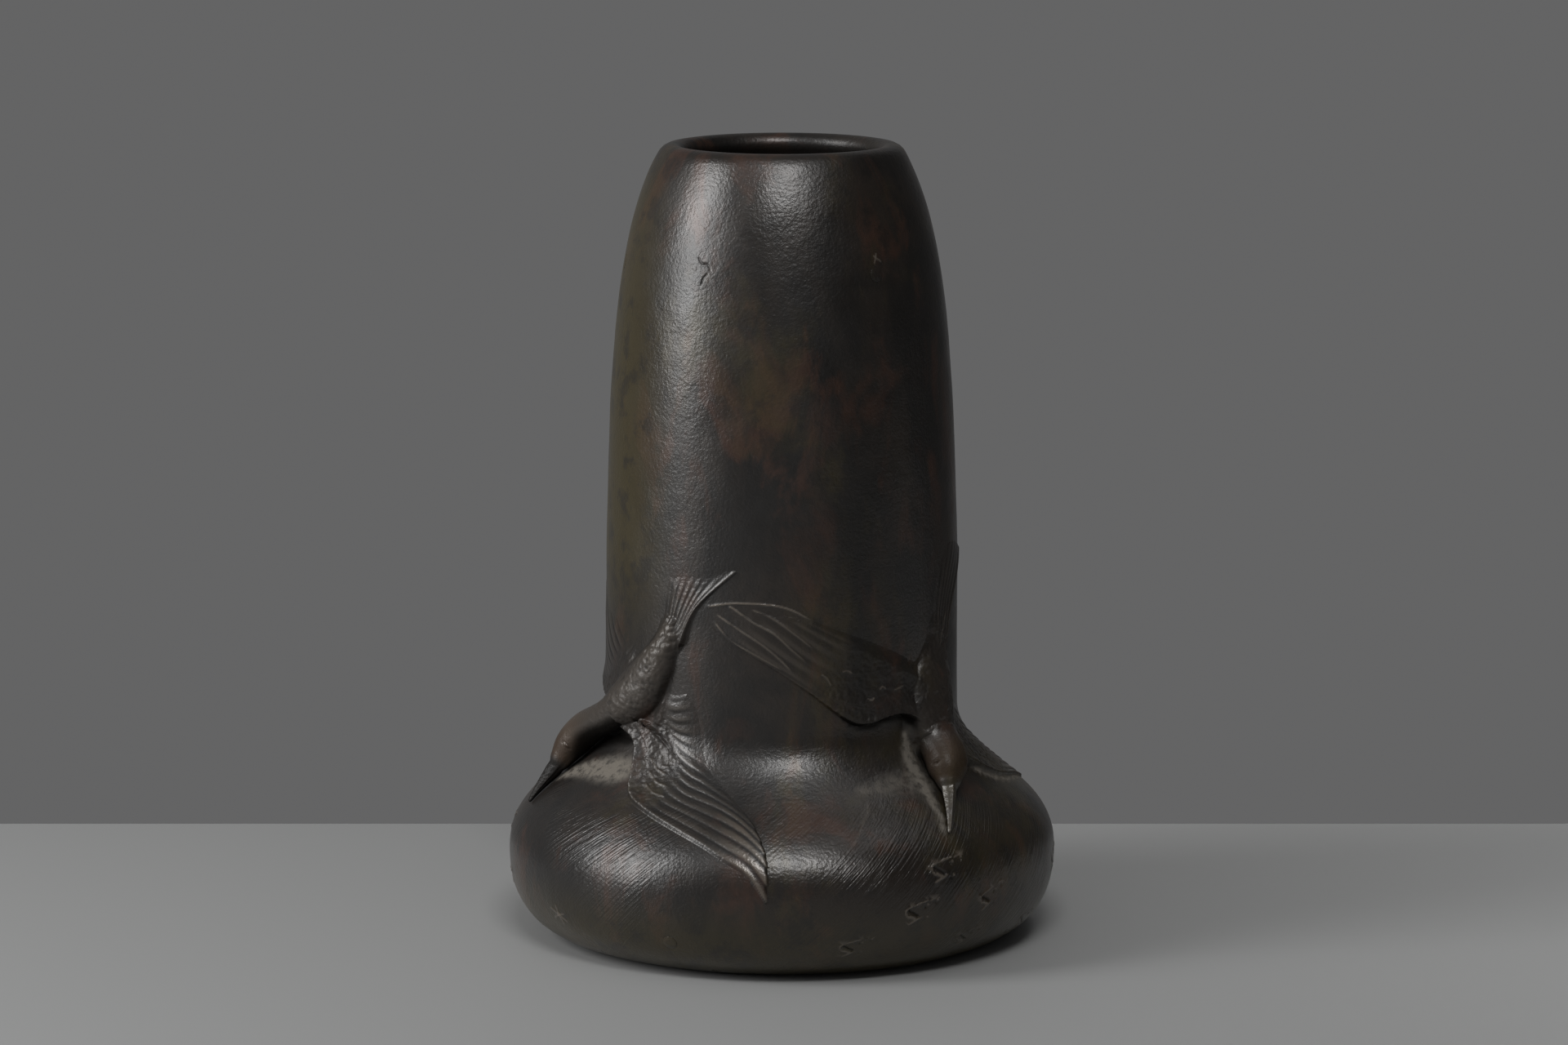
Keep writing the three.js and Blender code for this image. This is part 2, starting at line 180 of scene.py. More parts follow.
# Places on the vase are (angle, rise): degrees round the axis from the front towards +X, and
# millimetres along the outline from the foot of the straight neck.
# A wing's lines are some of its quills, evenly numbered from the first feather to the leading edge,
# each from root to tip; its rim and web are heights along a quill, at the leading edge and elsewhere;
# over fade, a range of shares, feathers before the first whole one sink into the skin.
LEFT_NEAR_WING = dict(
    lines=[
        [(-48, 15), (-42, 12.4), (-37.4, 11.4), (-34, 12), (-31, 12.8)],
        [(-50, 10.6), (-43, 6.6), (-37, 5), (-31, 6), (-25.4, 6.8)],
        [(-52, 6.4), (-42.8, 2.4), (-35.8, -1), (-29.4, -1.6), (-23, -1.4)],
        [(-55.6, 4.6), (-42.2, -0.4), (-33.8, -6.2), (-26.4, -9.4), (-19.4, -12.4)],
        [(-58, 3.4), (-46.6, 0.8), (-39.6, -4.6), (-35, -9.4), (-30.8, -12.8), (-26.8, -15.2),
         (-22.6, -17), (-18.2, -19.6), (-13.4, -22.8), (-8.6, -27.6)],
        [(-60, 1.8), (-47.4, -0.6), (-41, -7), (-36.6, -13.6), (-31.4, -18.6), (-26.4, -21.8),
         (-21.2, -23.6), (-15.4, -26.2), (-9.6, -31), (-4.4, -38)],
        [(-61.5, 0.4), (-48.6, -2.6), (-43, -10), (-39.8, -18.4), (-32.8, -24.8), (-24.6, -28.6),
         (-18.6, -31.8), (-12.6, -35.8), (-7.2, -40.4), (-3, -46.4)],
        [(-62.5, -1), (-50.6, -5.6), (-46.2, -14.6), (-43, -24.2), (-34.6, -29.4), (-25.4, -34.4),
         (-18.6, -38.6), (-12.6, -43.4), (-7, -48.4), (-3.1, -56.5)],
    ],
    feathers=14, first_line=0.36, depth=0.2, edge_line=0.06, scallop=0.22, fade=(0.6, 1),
    first_whole=8.5, first_fade=1.6, reach=5, tip_worn=0.9,
    rim=(5, 4.5, 3.9, 2, 0.95, 0.7, 0.55, 0.45, 0.45, 0.45),
    web=(4.6, 3, 1.6, 0.8, 0.5, 0.35, 0.3, 0.35, 0.45, 0.45),
)
LEFT_FAR_WING = dict(
    lines=[
        [(-50, 20), (-56, 26.4), (-60, 31.6)],
        [(-54, 16), (-67, 24), (-79, 35)],
        [(-57, 13), (-77, 18), (-99, 39)],
        [(-60, 8), (-88, 14), (-124, 45)],
        [(-62, 3), (-86, 6.4), (-112, 17), (-148, 46)],
    ],
    feathers=11, first_line=0.3, depth=0.2, edge_line=0.08, scallop=0.2, fade=(0.5, 0.9),
    first_whole=5, first_fade=3, reach=6, tip_worn=0,
    rim=(3, 1.6, 0.9, 0.6, 0.4), web=(2.4, 0.5, 0.2, 0.15),
)
LEFT_TAIL = dict(
    lines=[
        [(-42.4, 28), (-42.6, 37), (-42, 47)],
        [(-38.6, 29), (-36.6, 39), (-33.4, 49.4)],
        [(-35.8, 28.6), (-30.8, 39), (-24, 49.6)],
        [(-33.4, 26.4), (-28, 37.8), (-14.5, 49.6)],
    ],
    feathers=9, first_line=0.08, depth=0.2, edge_line=0.06, scallop=0.3, fade=(0.6, 1),
    first_whole=9, first_fade=3.4, reach=2.5, tip_worn=0,
    rim=(2.2, 0.9, 0.5), web=(1.8, 0.4, 0.12),
)
LEFT_BIRD = dict(
    node="bird_left",
    spine=[(-38, 29.5, -0.2, 4.4, 2.6), (-40.8, 24, 0.2, 5.2, 3.8), (-45, 17, 0.4, 7, 4.8),
           (-51, 9.6, 1, 8.2, 5.8), (-59.5, 3, 3.2, 6.1, 5.6), (-68.4, -2.9, 5.2, 5, 5.4),
           (-76, -10, 5.9, 5.2, 5.5), (-80, -18, 5.2, 5, 5.1), (-80.8, -26.6, 3, 2.9, 2.9),
           (-80.4, -40, 0.6, 0.5, 0.5)],
    free_from=0.42,
    wings=[LEFT_NEAR_WING, LEFT_FAR_WING, LEFT_TAIL],
    scales=[(-40.5, 29), (-36.8, 33), (-46.8, 23.3), (-36, 28.3), (-39.5, 33.5), (-43.2, 25.6),
            (-37.6, 25)],
    coarse=0.12,
    painted_back_highlight=0.34,
    head_warm=1,
    head_matt=0,
    beak_worn=0,
    beak_dark=0.7,
    strokes=[
        (-0.35, 0.5, [(-33.2, 29.3), (-35.2, 24), (-36.2, 18.5), (-39.8, 11.8), (-42, 5.5)]),
        (0.12, 0.4, [(-45.2, 35), (-50.4, 31), (-54.2, 26.4)]),
        (-0.14, 0.4, [(-55.2, 23.8), (-59.4, 19.6), (-63.5, 16)]),
        (0.14, 0.35, [(-41.6, -11), (-38.6, -14), (-34.6, -15.4)]),
        (0.14, 0.35, [(-40.6, -15.4), (-36.8, -18.4), (-32.4, -19.4)]),
        (0.14, 0.35, [(-40, -19.6), (-36, -22.4), (-31.4, -23)]),
    ],
    angles=(-152, 3),
    rises=(-60, 54),
)
RIGHT_NEAR_WING = dict(
    lines=[
        [(54, 17), (46, 21), (38.6, 25), (31, 28.4), (23.6, 31), (18, 33), (12.4, 34.6)],
        [(54, 14), (45.4, 18.4), (37, 22.6), (28.4, 26.8), (20, 30.4), (13.4, 33.2), (6.6, 36.2)],
        [(54, 11), (45, 15.6), (35.6, 20), (26, 24.8), (16.4, 29.6), (8.6, 33.6), (1, 38)],
        [(54, 8), (44.6, 13), (34.2, 17.6), (23.4, 22.8), (12.8, 28.6), (3.6, 34), (-5, 39.4)],
        [(53.9, 5), (44.2, 10.4), (32.8, 15), (20.8, 20.2), (9, 26.8), (-1.6, 34), (-11, 40)],
        [(53.8, 1.4), (44, 8.2), (31.4, 12.4), (18.4, 17), (5.4, 24.6), (-6.2, 32.6), (-17.6, 39.4)],
        [(53.4, -2), (44.2, 6.4), (30.6, 9.4), (16, 13.6), (3, 21.4), (-10, 29.6), (-22.4, 36.4)],
        [(53, -5), (44.4, 5), (30, 6.4), (14.6, 10.8), (1.4, 18.8), (-12, 26.6), (-24, 34.4)],
        [(52, -7), (48, -0.8), (42.4, 4), (35, 4.4), (28, 2.6), (22.4, 3.3), (15, 8.2), (9, 12.6),
         (2, 17.3), (-5, 21.6), (-11.6, 25.2), (-18, 29.2), (-24.6, 33.8)],
    ],
    feathers=8, first_line=0.5, depth=0.06, edge_line=0, scallop=0, fade=(0.8, 1), first_whole=12,
    first_fade=2.2, reach=6, tip_worn=0,
    rim=(5, 3.8, 2.7, 1, 0.3, 0.2, 0.2), web=(2.4, 1.7, 0.7, 0.3, 0.15),
)
RIGHT_FAR_WING = dict(
    lines=[
        [(59, 10), (68, 8), (77, 4)],
        [(60, 4), (76, -3), (96, -12)],
        [(60, -3), (84, -13), (112, -26)],
        [(58.4, -8), (86, -20), (126, -42)],
        [(55, -9.6), (61, -14), (66, -17.4), (70.5, -21.5), (75.5, -25), (83, -28), (91, -31),
         (101, -36.4), (118, -43.6), (138, -55)],
    ],
    feathers=12, first_line=0.5, depth=0.26, edge_line=0.12, scallop=0.25, fade=(0.8, 1),
    first_whole=5, first_fade=2, reach=6, tip_worn=0,
    rim=(5, 3.6, 2.9, 2.2, 1.6, 1.1, 0.8, 0.6, 0.4, 0.2), web=(4.2, 2.2, 0.9, 0.35, 0.15),
)
RIGHT_TAIL = dict(
    lines=[
        [(54.5, 18), (56, 34), (58, 50.5)],
        [(57, 18), (61, 36), (68, 52.5)],
        [(60.5, 18), (66, 36), (78, 52)],
        [(64, 18), (70, 33), (87, 49)],
    ],
    feathers=8, first_line=0.1, depth=0.16, edge_line=0.06, scallop=0.1, fade=(0.6, 1), first_whole=4,
    first_fade=3, reach=3, tip_worn=0,
    rim=(1.6, 0.9, 0.4), web=(1.4, 0.6, 0.15),
)
# Lines chased along the right bird's near wing, which run out over the bare body at its tip:
# (height, half width, places); below the skin where the height is negative
WING_LINES = [
    (0.22, 0.34, [(-25, 38.3), (-21.5, 39), (-17, 39.8), (-13, 40), (-8.8, 40), (-4.8, 39.8),
                  (-0.8, 39.3), (3.5, 38), (7.5, 36), (10.8, 34.3)]),
    (0.24, 0.32, [(-17, 38.8), (-15.5, 38.3), (-9.5, 34.5), (-2.2, 30.8), (3.2, 26), (9, 21.3)]),
    (0.18, 0.3, [(-10, 38.4), (-2.6, 35.4), (4.4, 30.6), (11, 25.4)]),
    (0.24, 0.32, [(-21.8, 36.6), (-13.5, 31.8), (-6.2, 27.5), (-0.8, 23.3), (4, 18.6)]),
    (0.2, 0.3, [(-22, 34), (-16.8, 28.8), (-8.5, 24.5), (1.8, 19)]),
    (-0.14, 0.4, [(-24.5, 33.8), (-12.8, 25.8), (1.8, 17.5), (12.2, 10.3), (18.8, 5.3)]),
]
RIGHT_BIRD = dict(
    node="bird_right",
    spine=[(59.5, 26, -0.9, 5.4, 1.1), (58.4, 20, -0.4, 7.6, 2.6), (57, 13, 0.2, 9.4, 4.4),
           (55, 6, 1, 9.8, 5.7), (53.6, -2, 2.4, 8.2, 6.2), (52.8, -8, 3.8, 7.2, 6.3),
           (51.4, -14, 4.8, 6.8, 6.4), (49.2, -19.5, 4.4, 5.9, 5.8), (46.4, -25.6, 2.8, 2.7, 2.8),
           (39.8, -39, 0.6, 0.45, 0.5)],
    free_from=0.48,
    wings=[RIGHT_NEAR_WING, RIGHT_FAR_WING, RIGHT_TAIL],
    scales=[],
    coarse=0.05,
    painted_back_highlight=0.08,
    head_warm=0.45,
    head_matt=0.7,
    beak_worn=0.2,
    beak_dark=0,
    strokes=[
        *WING_LINES,
        (0.16, 0.36, [(19.2, 18.8), (21, 19.1), (22.8, 18)]),
        (0.16, 0.36, [(12.5, 18.5), (14.4, 17), (15.8, 14.5)]),
        (0.16, 0.36, [(31.8, 12.5), (33, 13.4), (34.2, 12.4)]),
        (0.16, 0.36, [(37, 12), (39, 12.4), (41, 13)]),
        (0.16, 0.36, [(27.5, 10.3), (29, 9.6), (30.2, 10.6)]),
        (0.1, 0.3, [(43.2, 8.2), (44.4, 9.4), (46.2, 9.4), (47.2, 8.2)]),
        (-0.16, 0.4, [(45, 25.3), (44.7, 21), (44.5, 17.5)]),
        (0.08, 0.4, [(56.2, 26), (54.4, 22), (52.8, 18.5)]),
        (0.16, 0.4, [(65.2, 32.5), (61.6, 27), (58, 21.8)]),
    ],
    angles=(-28, 142),
    rises=(-60, 56),
)

# The body's strokes: the step round the brushed patch, the wing's lines, two cold shuts in the casting
# and two scratched stars
BODY_STROKES = [
    (0.09, 1.1, [(23, -23), (22, -26.7), (19.5, -31.5), (16.8, -37), (13.8, -42)]),
    *WING_LINES,
    (-0.24, 0.26, [(-31.8, 143.5), (-30.2, 141.8), (-27.8, 141.5), (-26, 139.5)]),
    (-0.24, 0.26, [(-27.4, 138.8), (-29.2, 137), (-29.8, 135)]),
    (0.16, 0.3, [(35.4, 141.2), (36.2, 143), (36.9, 144.8)]),
    (0.16, 0.3, [(35.2, 143.8), (37, 142.8), (39, 141.6)]),
    (0.2, 0.34, [(-57, -66.6), (-54, -68.4), (-51, -70.4)]),
    (0.2, 0.34, [(-54.6, -65.2), (-54, -68.4), (-53, -71.8)]),
    (0.16, 0.34, [(-56.2, -70), (-54, -68.4), (-51.6, -67.4)]),
]

# Chased marks on the bulb, like small birds far off: (angle, rise, heading in degrees, size)
MARKS = [
    (33, -47.7, 8, 1),
    (26.3, -60, 12, 0.95),
    (12.5, -70.2, 12, 0.85),
    (45.2, -59.7, 16, 0.9),
    (40.8, -71.5, 8, 0.75),
    (64.2, -72.5, 5, 0.8),
    (-95, -48.5, 12, 0.95),
    (-88, -64, 10, 0.9),
    (-106, -60, 12, 0.9),
    (80, -58, 12, 0.85),
    (99, -67, 10, 0.9),
]

# One mark's strokes and dots, in millimetres along and above its upper line
MARK_STROKES = [
    (0.28, 0.3, [(-0.8, -0.5), (0.8, 0.1), (2.6, 0.3), (4.6, 0.1)]),
    (0.24, 0.28, [(4, 0.5), (6, 0.4), (8, 0.5)]),
    (0.22, 0.28, [(8.2, 0), (10.4, 0.3), (12.4, 0)]),
    (-0.5, 0.42, [(0.1, -0.6), (1.9, -2.2), (4, -4.3)]),
    (0.3, 0.32, [(4.4, -4), (1.7, -4.7), (-1.2, -5.4)]),
    (0.24, 0.3, [(-0.6, 0), (-0.9, -1.6), (-0.1, -3.4)]),
    (0.24, 0.5, [(0, -2.6), (1.2, -3.6), (2.4, -4.4)]),
]
MARK_DOTS = [
    (-0.4, 0.5, (6.4, -1.4)),
    (0.3, 0.4, (7.3, -0.9)),
    (-0.35, 0.45, (10.4, -1.1)),
    (0.32, 0.4, (11, -0.5)),
    (0.26, 0.4, (6.4, -4.8)),
    (-0.3, 0.4, (5.2, -5.4)),
]
MARK_LENGTH = 13
MARK_DEPTH = 7

# Painted shade: near black is painted in the hollows under the heads and wings, where their shadow
# falls; beside them lie dust and, on the right shoulder, a painted sheen: (strength, places with a reach
# in millimetres)
PAINTED_SHADE_STRIPS = [
    (1, [(-54, -6.4, 1.8), (-57.5, -6.6, 3.2), (-62.5, -7, 4.2), (-68, -8.8, 4.6), (-72.5, -11.6, 4),
         (-75.5, -15, 3.2), (-78, -19.5, 2.4), (-80.5, -24, 1.7)]),
    (0.95, [(50, -5, 1.2), (47, -9, 1.6), (45.6, -16, 1.6), (45, -23.4, 1.1)]),
    (0.95, [(19, 5, 0.5), (24, 2.2, 1), (30, 1.8, 1.3), (36, 3.2, 1.3), (42, 3, 1.3), (46.4, -1, 1.5),
            (47.6, -7, 1.5)]),
    (0.8, [(60, -16.4, 1), (66, -19, 1), (71, -23.6, 0.7)]),
]
DUST_AND_SHEEN = [
    (1, [(-84.3, -38, 1), (-84, -33.5, 1.3), (-80.5, -28, 1.9), (-75.5, -23.8, 2.7), (-70, -20.6, 3.7),
         (-64, -18.8, 4.6), (-58, -17.6, 5.2), (-52, -16.5, 5)]),
    (1, [(43.4, -3, 1.5), (42.6, -8, 2.4), (42, -13, 3), (41.6, -18.4, 3.2), (41.4, -24.4, 2.4),
         (40.8, -30.4, 1.4), (39.2, -37.5, 0.8)]),
    # A painted sheen on the right shoulder, where a weak overhead light would shine; the other strips
    # are dust
    (0.42, [(41.6, -18, 6), (37, -18.4, 5.6), (31, -18.6, 4.4), (22, -19, 2)]),
    (0.9, [(67, -18.6, 1), (70.6, -22.8, 1.3), (75.6, -26.4, 1.4), (84, -29.8, 1.2), (92, -32.6, 1),
           (101, -38, 0.7)]),
]


def sweep(start, start_pull, end, end_pull):
    """Points of a curve from start to end, each end pulled along its own direction."""
    share = np.linspace(0, 1, CURVE_STEPS)[:, None]
    first, last = np.array(start, float), np.array(end, float)
    second, third = first + start_pull, last + end_pull
    rest = 1 - share
    return rest**3 * first + 3 * rest**2 * share * second + 3 * rest * share**2 * third + share**3 * last


def flow(points, shares):
    """Places along a smooth curve through the points; shares run from 0 to 1."""
    points = np.array(points, float)
    last = len(points) - 1
    spot = np.clip(np.asarray(shares, float), 0, 1) * last
    start = np.clip(np.floor(spot).astype(int), 0, last - 1)
    part = (spot - start).reshape((-1,) + (1,) * (points.ndim - 1))
    before, after = points[np.clip(start - 1, 0, last)], points[np.clip(start + 2, 0, last)]
    here, there = points[start], points[start + 1]
    bend = 2 * before - 5 * here + 4 * there - after
    twist = 3 * here - before - 3 * there + after
    return 0.5 * (2 * here + (there - before) * part + bend * part**2 + twist * part**3)


def smooth_step(low, high, value):
    part = np.clip((value - low) / (high - low), 0, 1)
    return part * part * (3 - 2 * part)


def soft_max(first, second, blend):
    """The larger of two heights, with the corner between them rounded over blend."""
    overlap = np.maximum(blend - np.abs(first - second), 0) / blend
    return np.maximum(first, second) + overlap**2 * blend / 4


NOISE_SIDE = 32
NOISE = np.random.RandomState(11).rand(NOISE_SIDE, NOISE_SIDE, NOISE_SIDE)


def lumps(points, size, seed):
    """Smooth random lumps of one size between -1 and 1, the same in every run."""
    place = points / size + seed * 5.37
    cell = np.floor(place).astype(int)
    part = place - cell
    part = part * part * (3 - 2 * part)
    total = np.zeros(len(points))
    for corner in np.ndindex(2, 2, 2):
        share = np.prod(np.where(corner, part, 1 - part), axis=1)
        spot = (cell + corner) % NOISE_SIDE
        total += share * NOISE[spot[:, 0], spot[:, 1], spot[:, 2]]
    return 2 * total - 1


def layered(points, layers):
    """Lumps of several heights and sizes together."""
    return sum(height * lumps(points, size, seed) for height, size, seed in layers)


def angle_of(points):
    """Degrees round the axis from the front."""
    return np.degrees(np.arctan2(points[:, 0], -points[:, 1]))


def turned(angle, radius, height):
    """Points at a radius and height, turned round the axis by an angle in degrees."""
    turn = np.radians(angle)
    return np.stack([radius * np.sin(turn), -radius * np.cos(turn), height], axis=-1)


class Skin:
    """The outside of the vase, by place."""

    def __init__(self):
        uphill = np.array([-math.cos(SHOULDER_SLOPE), math.sin(SHOULDER_SLOPE)])
        below_lip = np.array([math.cos(LIP_ANGLE), -math.sin(LIP_ANGLE)])
        lip_centre = np.array([MOUTH_RADIUS, HEIGHT - LIP_ROUND])
        lip_start = lip_centre + LIP_ROUND * np.array([math.sin(LIP_ANGLE), math.cos(LIP_ANGLE)])
        widest = (BULB_RADIUS, BULB_HEIGHT)
        neck_foot, neck_top = (NECK_RADIUS, NECK_FOOT), (NECK_RADIUS, NECK_FOOT + NECK_STRAIGHT)
        lower = [
            sweep((FOOT_RADIUS, 0), (FOOT_PULL, 0), widest, (0, -BULB_PULL_DOWN)),
            sweep(widest, (0, BULB_PULL_UP), SHOULDER, -SHOULDER_PULL_DOWN * uphill),
            sweep(SHOULDER, SHOULDER_PULL_UP * uphill, neck_foot, (0, -NECK_FILLET_PULL)),
        ]
        taper = sweep(neck_top, (0, TAPER_NECK_PULL), lip_start, TAPER_LIP_PULL * below_lip)
        turn = np.linspace(LIP_ANGLE, 0, CURVE_STEPS)
        crest = lip_centre + LIP_ROUND * np.stack([np.sin(turn), np.cos(turn)], axis=1)
        straight = np.linspace(neck_foot, neck_top, CURVE_STEPS)
        line = np.concatenate([lower[0]] + [part[1:] for part in lower[1:] + [straight, taper, crest]])
        run = np.concatenate([[0], np.cumsum(np.hypot(*np.diff(line, axis=0).T))])
        self.lower_length = run[3 * (CURVE_STEPS - 1)]
        self.rise = run - self.lower_length
        self.radius, self.height = line.T
        slope = np.gradient(line, run, axis=0)
        slope /= np.hypot(*slope.T)[:, None]
        self.out_radius, self.out_height = slope[:, 1], -slope[:, 0]
        self.top = self.rise[-1]

    def facing(self, rise):
        """The outward direction at a rise, as a step in radius and one in height."""
        return np.interp(rise, self.rise, self.out_radius), np.interp(rise, self.rise, self.out_height)

    def at(self, rise, lift=0):
        """Radius and height of the outline at a rise, moved out by lift."""
        radius, height = self.facing(rise)
        return (np.interp(rise, self.rise, self.radius) + lift * radius,
                np.interp(rise, self.rise, self.height) + lift * height)

    def point(self, angle, rise, lift=0):
        """Points in space, in millimetres."""
        return turned(angle, *self.at(rise, lift))

    def out(self, angle, rise):
        """The outward direction at a place."""
        return turned(angle, *self.facing(rise))

    def dents(self, angle, rise):
        """The slow waviness that a wax model and its casting keep."""
        above_foot = smooth_step(*DENTS_FOOT, rise)
        below_lip = 1 - smooth_step(*DENTS_LIP, rise - self.top)
        return above_foot * below_lip * layered(self.point(angle, rise), DENTS)


SKIN = Skin()


def local_scale(rise):
    """Millimetres along the skin for one degree round the axis."""
    return np.interp(rise, SKIN.rise, SKIN.radius) * math.pi / 180


def line_distance(across, up, line, scale):
    """Distance to a line of places, and the nearest point's share of it; scale stretches across."""
    best = np.full(len(across), 1e9)
    share = np.zeros(len(across))
    pieces = len(line) - 1
    for index, (start, step) in enumerate(zip(line, np.diff(line, axis=0))):
        start_x, start_y = (start[0] - across) * scale, start[1] - up
        step_x, step_y = step[0] * scale, step[1]
        along = -(start_x * step_x + start_y * step_y) / np.maximum(step_x**2 + step_y**2, 1e-9)
        along = np.clip(along, 0, 1)
        distance = np.hypot(start_x + along * step_x, start_y + along * step_y)
        nearer = distance < best
        best = np.where(nearer, distance, best)
        share = np.where(nearer, (index + along) / pieces, share)
    return best, share


def stroke_height(strokes, across, up, scale):
    """Height of thin raised or cut strokes, which fade towards their ends."""
    height = np.zeros(len(across))
    for tall, width, line in strokes:
        course = flow(line, np.linspace(0, 1, 6 * len(line)))
        distance, along = line_distance(across, up, course, scale)
        ends = smooth_step(*STROKE_BEGINS, along) * (1 - smooth_step(*STROKE_ENDS, along))
        height += tall * ends * np.exp(-(distance / width)**2)
    return height


def cross(first, second):
    """The area between two directions."""
    return first[:, 0] * second[:, 1] - first[:, 1] * second[:, 0]


class Fan:
    """A fan of feathers as a patch: a place on it is a feather's number and a share along its quill."""

    ALONG = 30
    BETWEEN = 4
    SEARCH = 4000
    ROUNDS = 5

    def __init__(self, lines, feathers):
        shares = np.linspace(0, 1, self.ALONG + 1)
        rows = np.stack([flow(line, shares) for line in lines])
        self.count = feathers
        self.grid = flow(rows, np.linspace(0, 1, feathers * self.BETWEEN + 1))

    def place(self, feather, share):
        row = np.clip(feather * self.BETWEEN, 0, self.count * self.BETWEEN - 1e-6)
        column = np.clip(share * self.ALONG, 0, self.ALONG - 1e-6)
        top, left = row.astype(int), column.astype(int)
        down, right = (row - top)[:, None], (column - left)[:, None]
        grid = self.grid
        return ((1 - down) * ((1 - right) * grid[top, left] + right * grid[top, left + 1])
                + down * ((1 - right) * grid[top + 1, left] + right * grid[top + 1, left + 1]))

    def slopes(self, feather, share, stretch):
        """The patch's place, and its two directions in millimetres."""
        here = self.place(feather, share)
        step_f = np.where(feather > self.count - 0.1, -0.05, 0.05)
        step_s = np.where(share > 0.97, -0.01, 0.01)
        across = (self.place(feather + step_f, share) - here) / step_f[:, None]
        along = (self.place(feather, share + step_s) - here) / step_s[:, None]
        return here, across * stretch, along * stretch

    def locate(self, angle, rise):
        """Nearest feather number and share, how far off it lies, and the spacing and length there."""
        scale = local_scale(rise)
        places = np.stack([angle, rise], axis=1)
        stretch = np.stack([scale, np.ones(len(scale))], axis=1)
        nodes = self.grid.reshape(-1, 2)
        nearest = np.empty(len(angle), int)
        for start in range(0, len(angle), self.SEARCH):
            some = slice(start, start + self.SEARCH)
            away = (((nodes[None, :, 0] - angle[some, None]) * scale[some, None])**2
                    + (nodes[None, :, 1] - rise[some, None])**2)
            nearest[some] = np.argmin(away, axis=1)
        feather = (nearest // (self.ALONG + 1)) / self.BETWEEN
        share = (nearest % (self.ALONG + 1)) / self.ALONG
        for _ in range(self.ROUNDS):
            here, across, along = self.slopes(feather, share, stretch)
            miss = (places - here) * stretch
            area = cross(across, along)
            area = np.where(np.abs(area) < 1e-2, 1e-2, area)
            feather = np.clip(feather + np.clip(cross(miss, along) / area, -0.5, 0.5), 0, self.count)
            share = np.clip(share + np.clip(cross(across, miss) / area, -0.08, 0.08), 0, 1)
        here, across, along = self.slopes(feather, share, stretch)
        off = np.hypot(*((places - here) * stretch).T)
        off = np.where(off < 0.02, 0, off)
        length = np.hypot(*along.T)
        return feather, share, off, np.abs(cross(across, along)) / np.maximum(length, 1e-3), length


def wing_relief(wing, angle, rise):
    """Height of a wing or tail over the skin, its rubbed crests that are partly a painted highlight, its
    coverts and its grooves, darkened as painted shade.
    """
    fan = Fan(wing["lines"], wing["feathers"])
    feather, share, off, spacing, length = fan.locate(angle, rise)
    to_lead = (fan.count - feather) * spacing
    to_tip = (1 - share) * length
    rim, web = flow(wing["rim"], share), flow(wing["web"], share)
    height = web + (rim - web) * np.exp(-(to_lead / wing["reach"])**2)

    part = feather % 1
    crest = smooth_step(*CREST_RISE, part) * (1 - smooth_step(*CREST_FALL, part))
    lines = smooth_step(wing["first_line"], wing["first_line"] + LINE_START, share)
    depth = np.minimum(wing["depth"], GROOVE_LIMIT * spacing)
    height = height + lines * depth * (crest - 0.5)
    lead_line = np.exp(-((to_lead - LEAD_LINE_INSET) / LEAD_LINE_WIDTH)**2)
    lead_line *= smooth_step(*LEAD_LINE_START, share)
    height = height + wing["edge_line"] * lead_line
    sunk = smooth_step(*wing["fade"], share)
    sunk *= 1 - smooth_step(wing["first_whole"] - 3, wing["first_whole"] + 1, feather)
    sunk = np.maximum(sunk, 1 - smooth_step(0, wing["first_fade"], feather))
    height = height - sunk * (height + MELT)

    at_tip = share > 0.995
    tip = to_tip - np.where(at_tip, off, 0) - wing["scallop"] * spacing * (1 - crest) * lines
    rounded = np.where(height > 0, np.sqrt(1 - (1 - np.clip(tip / TIP_ROUND, 0, 1))**2), 1)
    height = height * rounded + np.minimum(tip, 0)
    slope = np.where(feather > fan.count - 0.01, 1 + 0.8 * rim, 0.6)
    height = height - np.where(at_tip, 0, slope * off)
    # Crests are lightened as rubbed metal and partly as a painted highlight where light would catch them
    worn = 0.25 * np.maximum(lines * smooth_step(0.5, 1, crest), lead_line * (wing["edge_line"] > 0))
    rubbed_and_highlight = smooth_step(*RUBBED_SHARES, share) * smooth_step(*RUBBED_CRESTS, crest)
    worn = np.maximum(worn, wing["tip_worn"] * rubbed_and_highlight * smooth_step(*RUBBED_FEATHERS, feather))
    whole = (off == 0) * (1 - sunk)
    # Painted shade: the grooves between the crests are darkened
    grooves = lines * min(1, wing["depth"] / 0.2) * (1 - smooth_step(0, 0.35, crest))
    coverts = (1 - lines) * (1 - smooth_step(0, 1.5, off)) * smooth_step(0.2, 0.9, height)
    return height, worn * whole, coverts, grooves * whole


def back_relief(bird, angle, rise):
    """Height of a bird's rounded back over the skin, as far as its shoulders."""
    shares = np.linspace(0, 1, 90)
    rows = flow(bird["spine"], shares)
    distance, along = line_distance(angle, rise, rows[:, :2], local_scale(rise))
    lift, width, tall = (np.interp(along, shares, rows[:, column]) for column in (2, 3, 4))
    across = distance / width
    roundness = 1 - 0.5 * smooth_step(0, 0.22, along)
    dome = lift + tall * np.maximum(1 - across**2, 0)**roundness
    dome = np.where(across < 1, dome, lift - (across - 1) * width * 1.1)
    front = np.maximum(along - bird["free_from"], 0) / 0.05
    return dome - 1.6 * front**1.5, along, across


def plumage(points, coarse):
    """Scales and stipples that the modeller pressed into the plumage, in millimetres."""
    return layered(points, ((coarse, *COARSE_LUMPS), *STIPPLES))


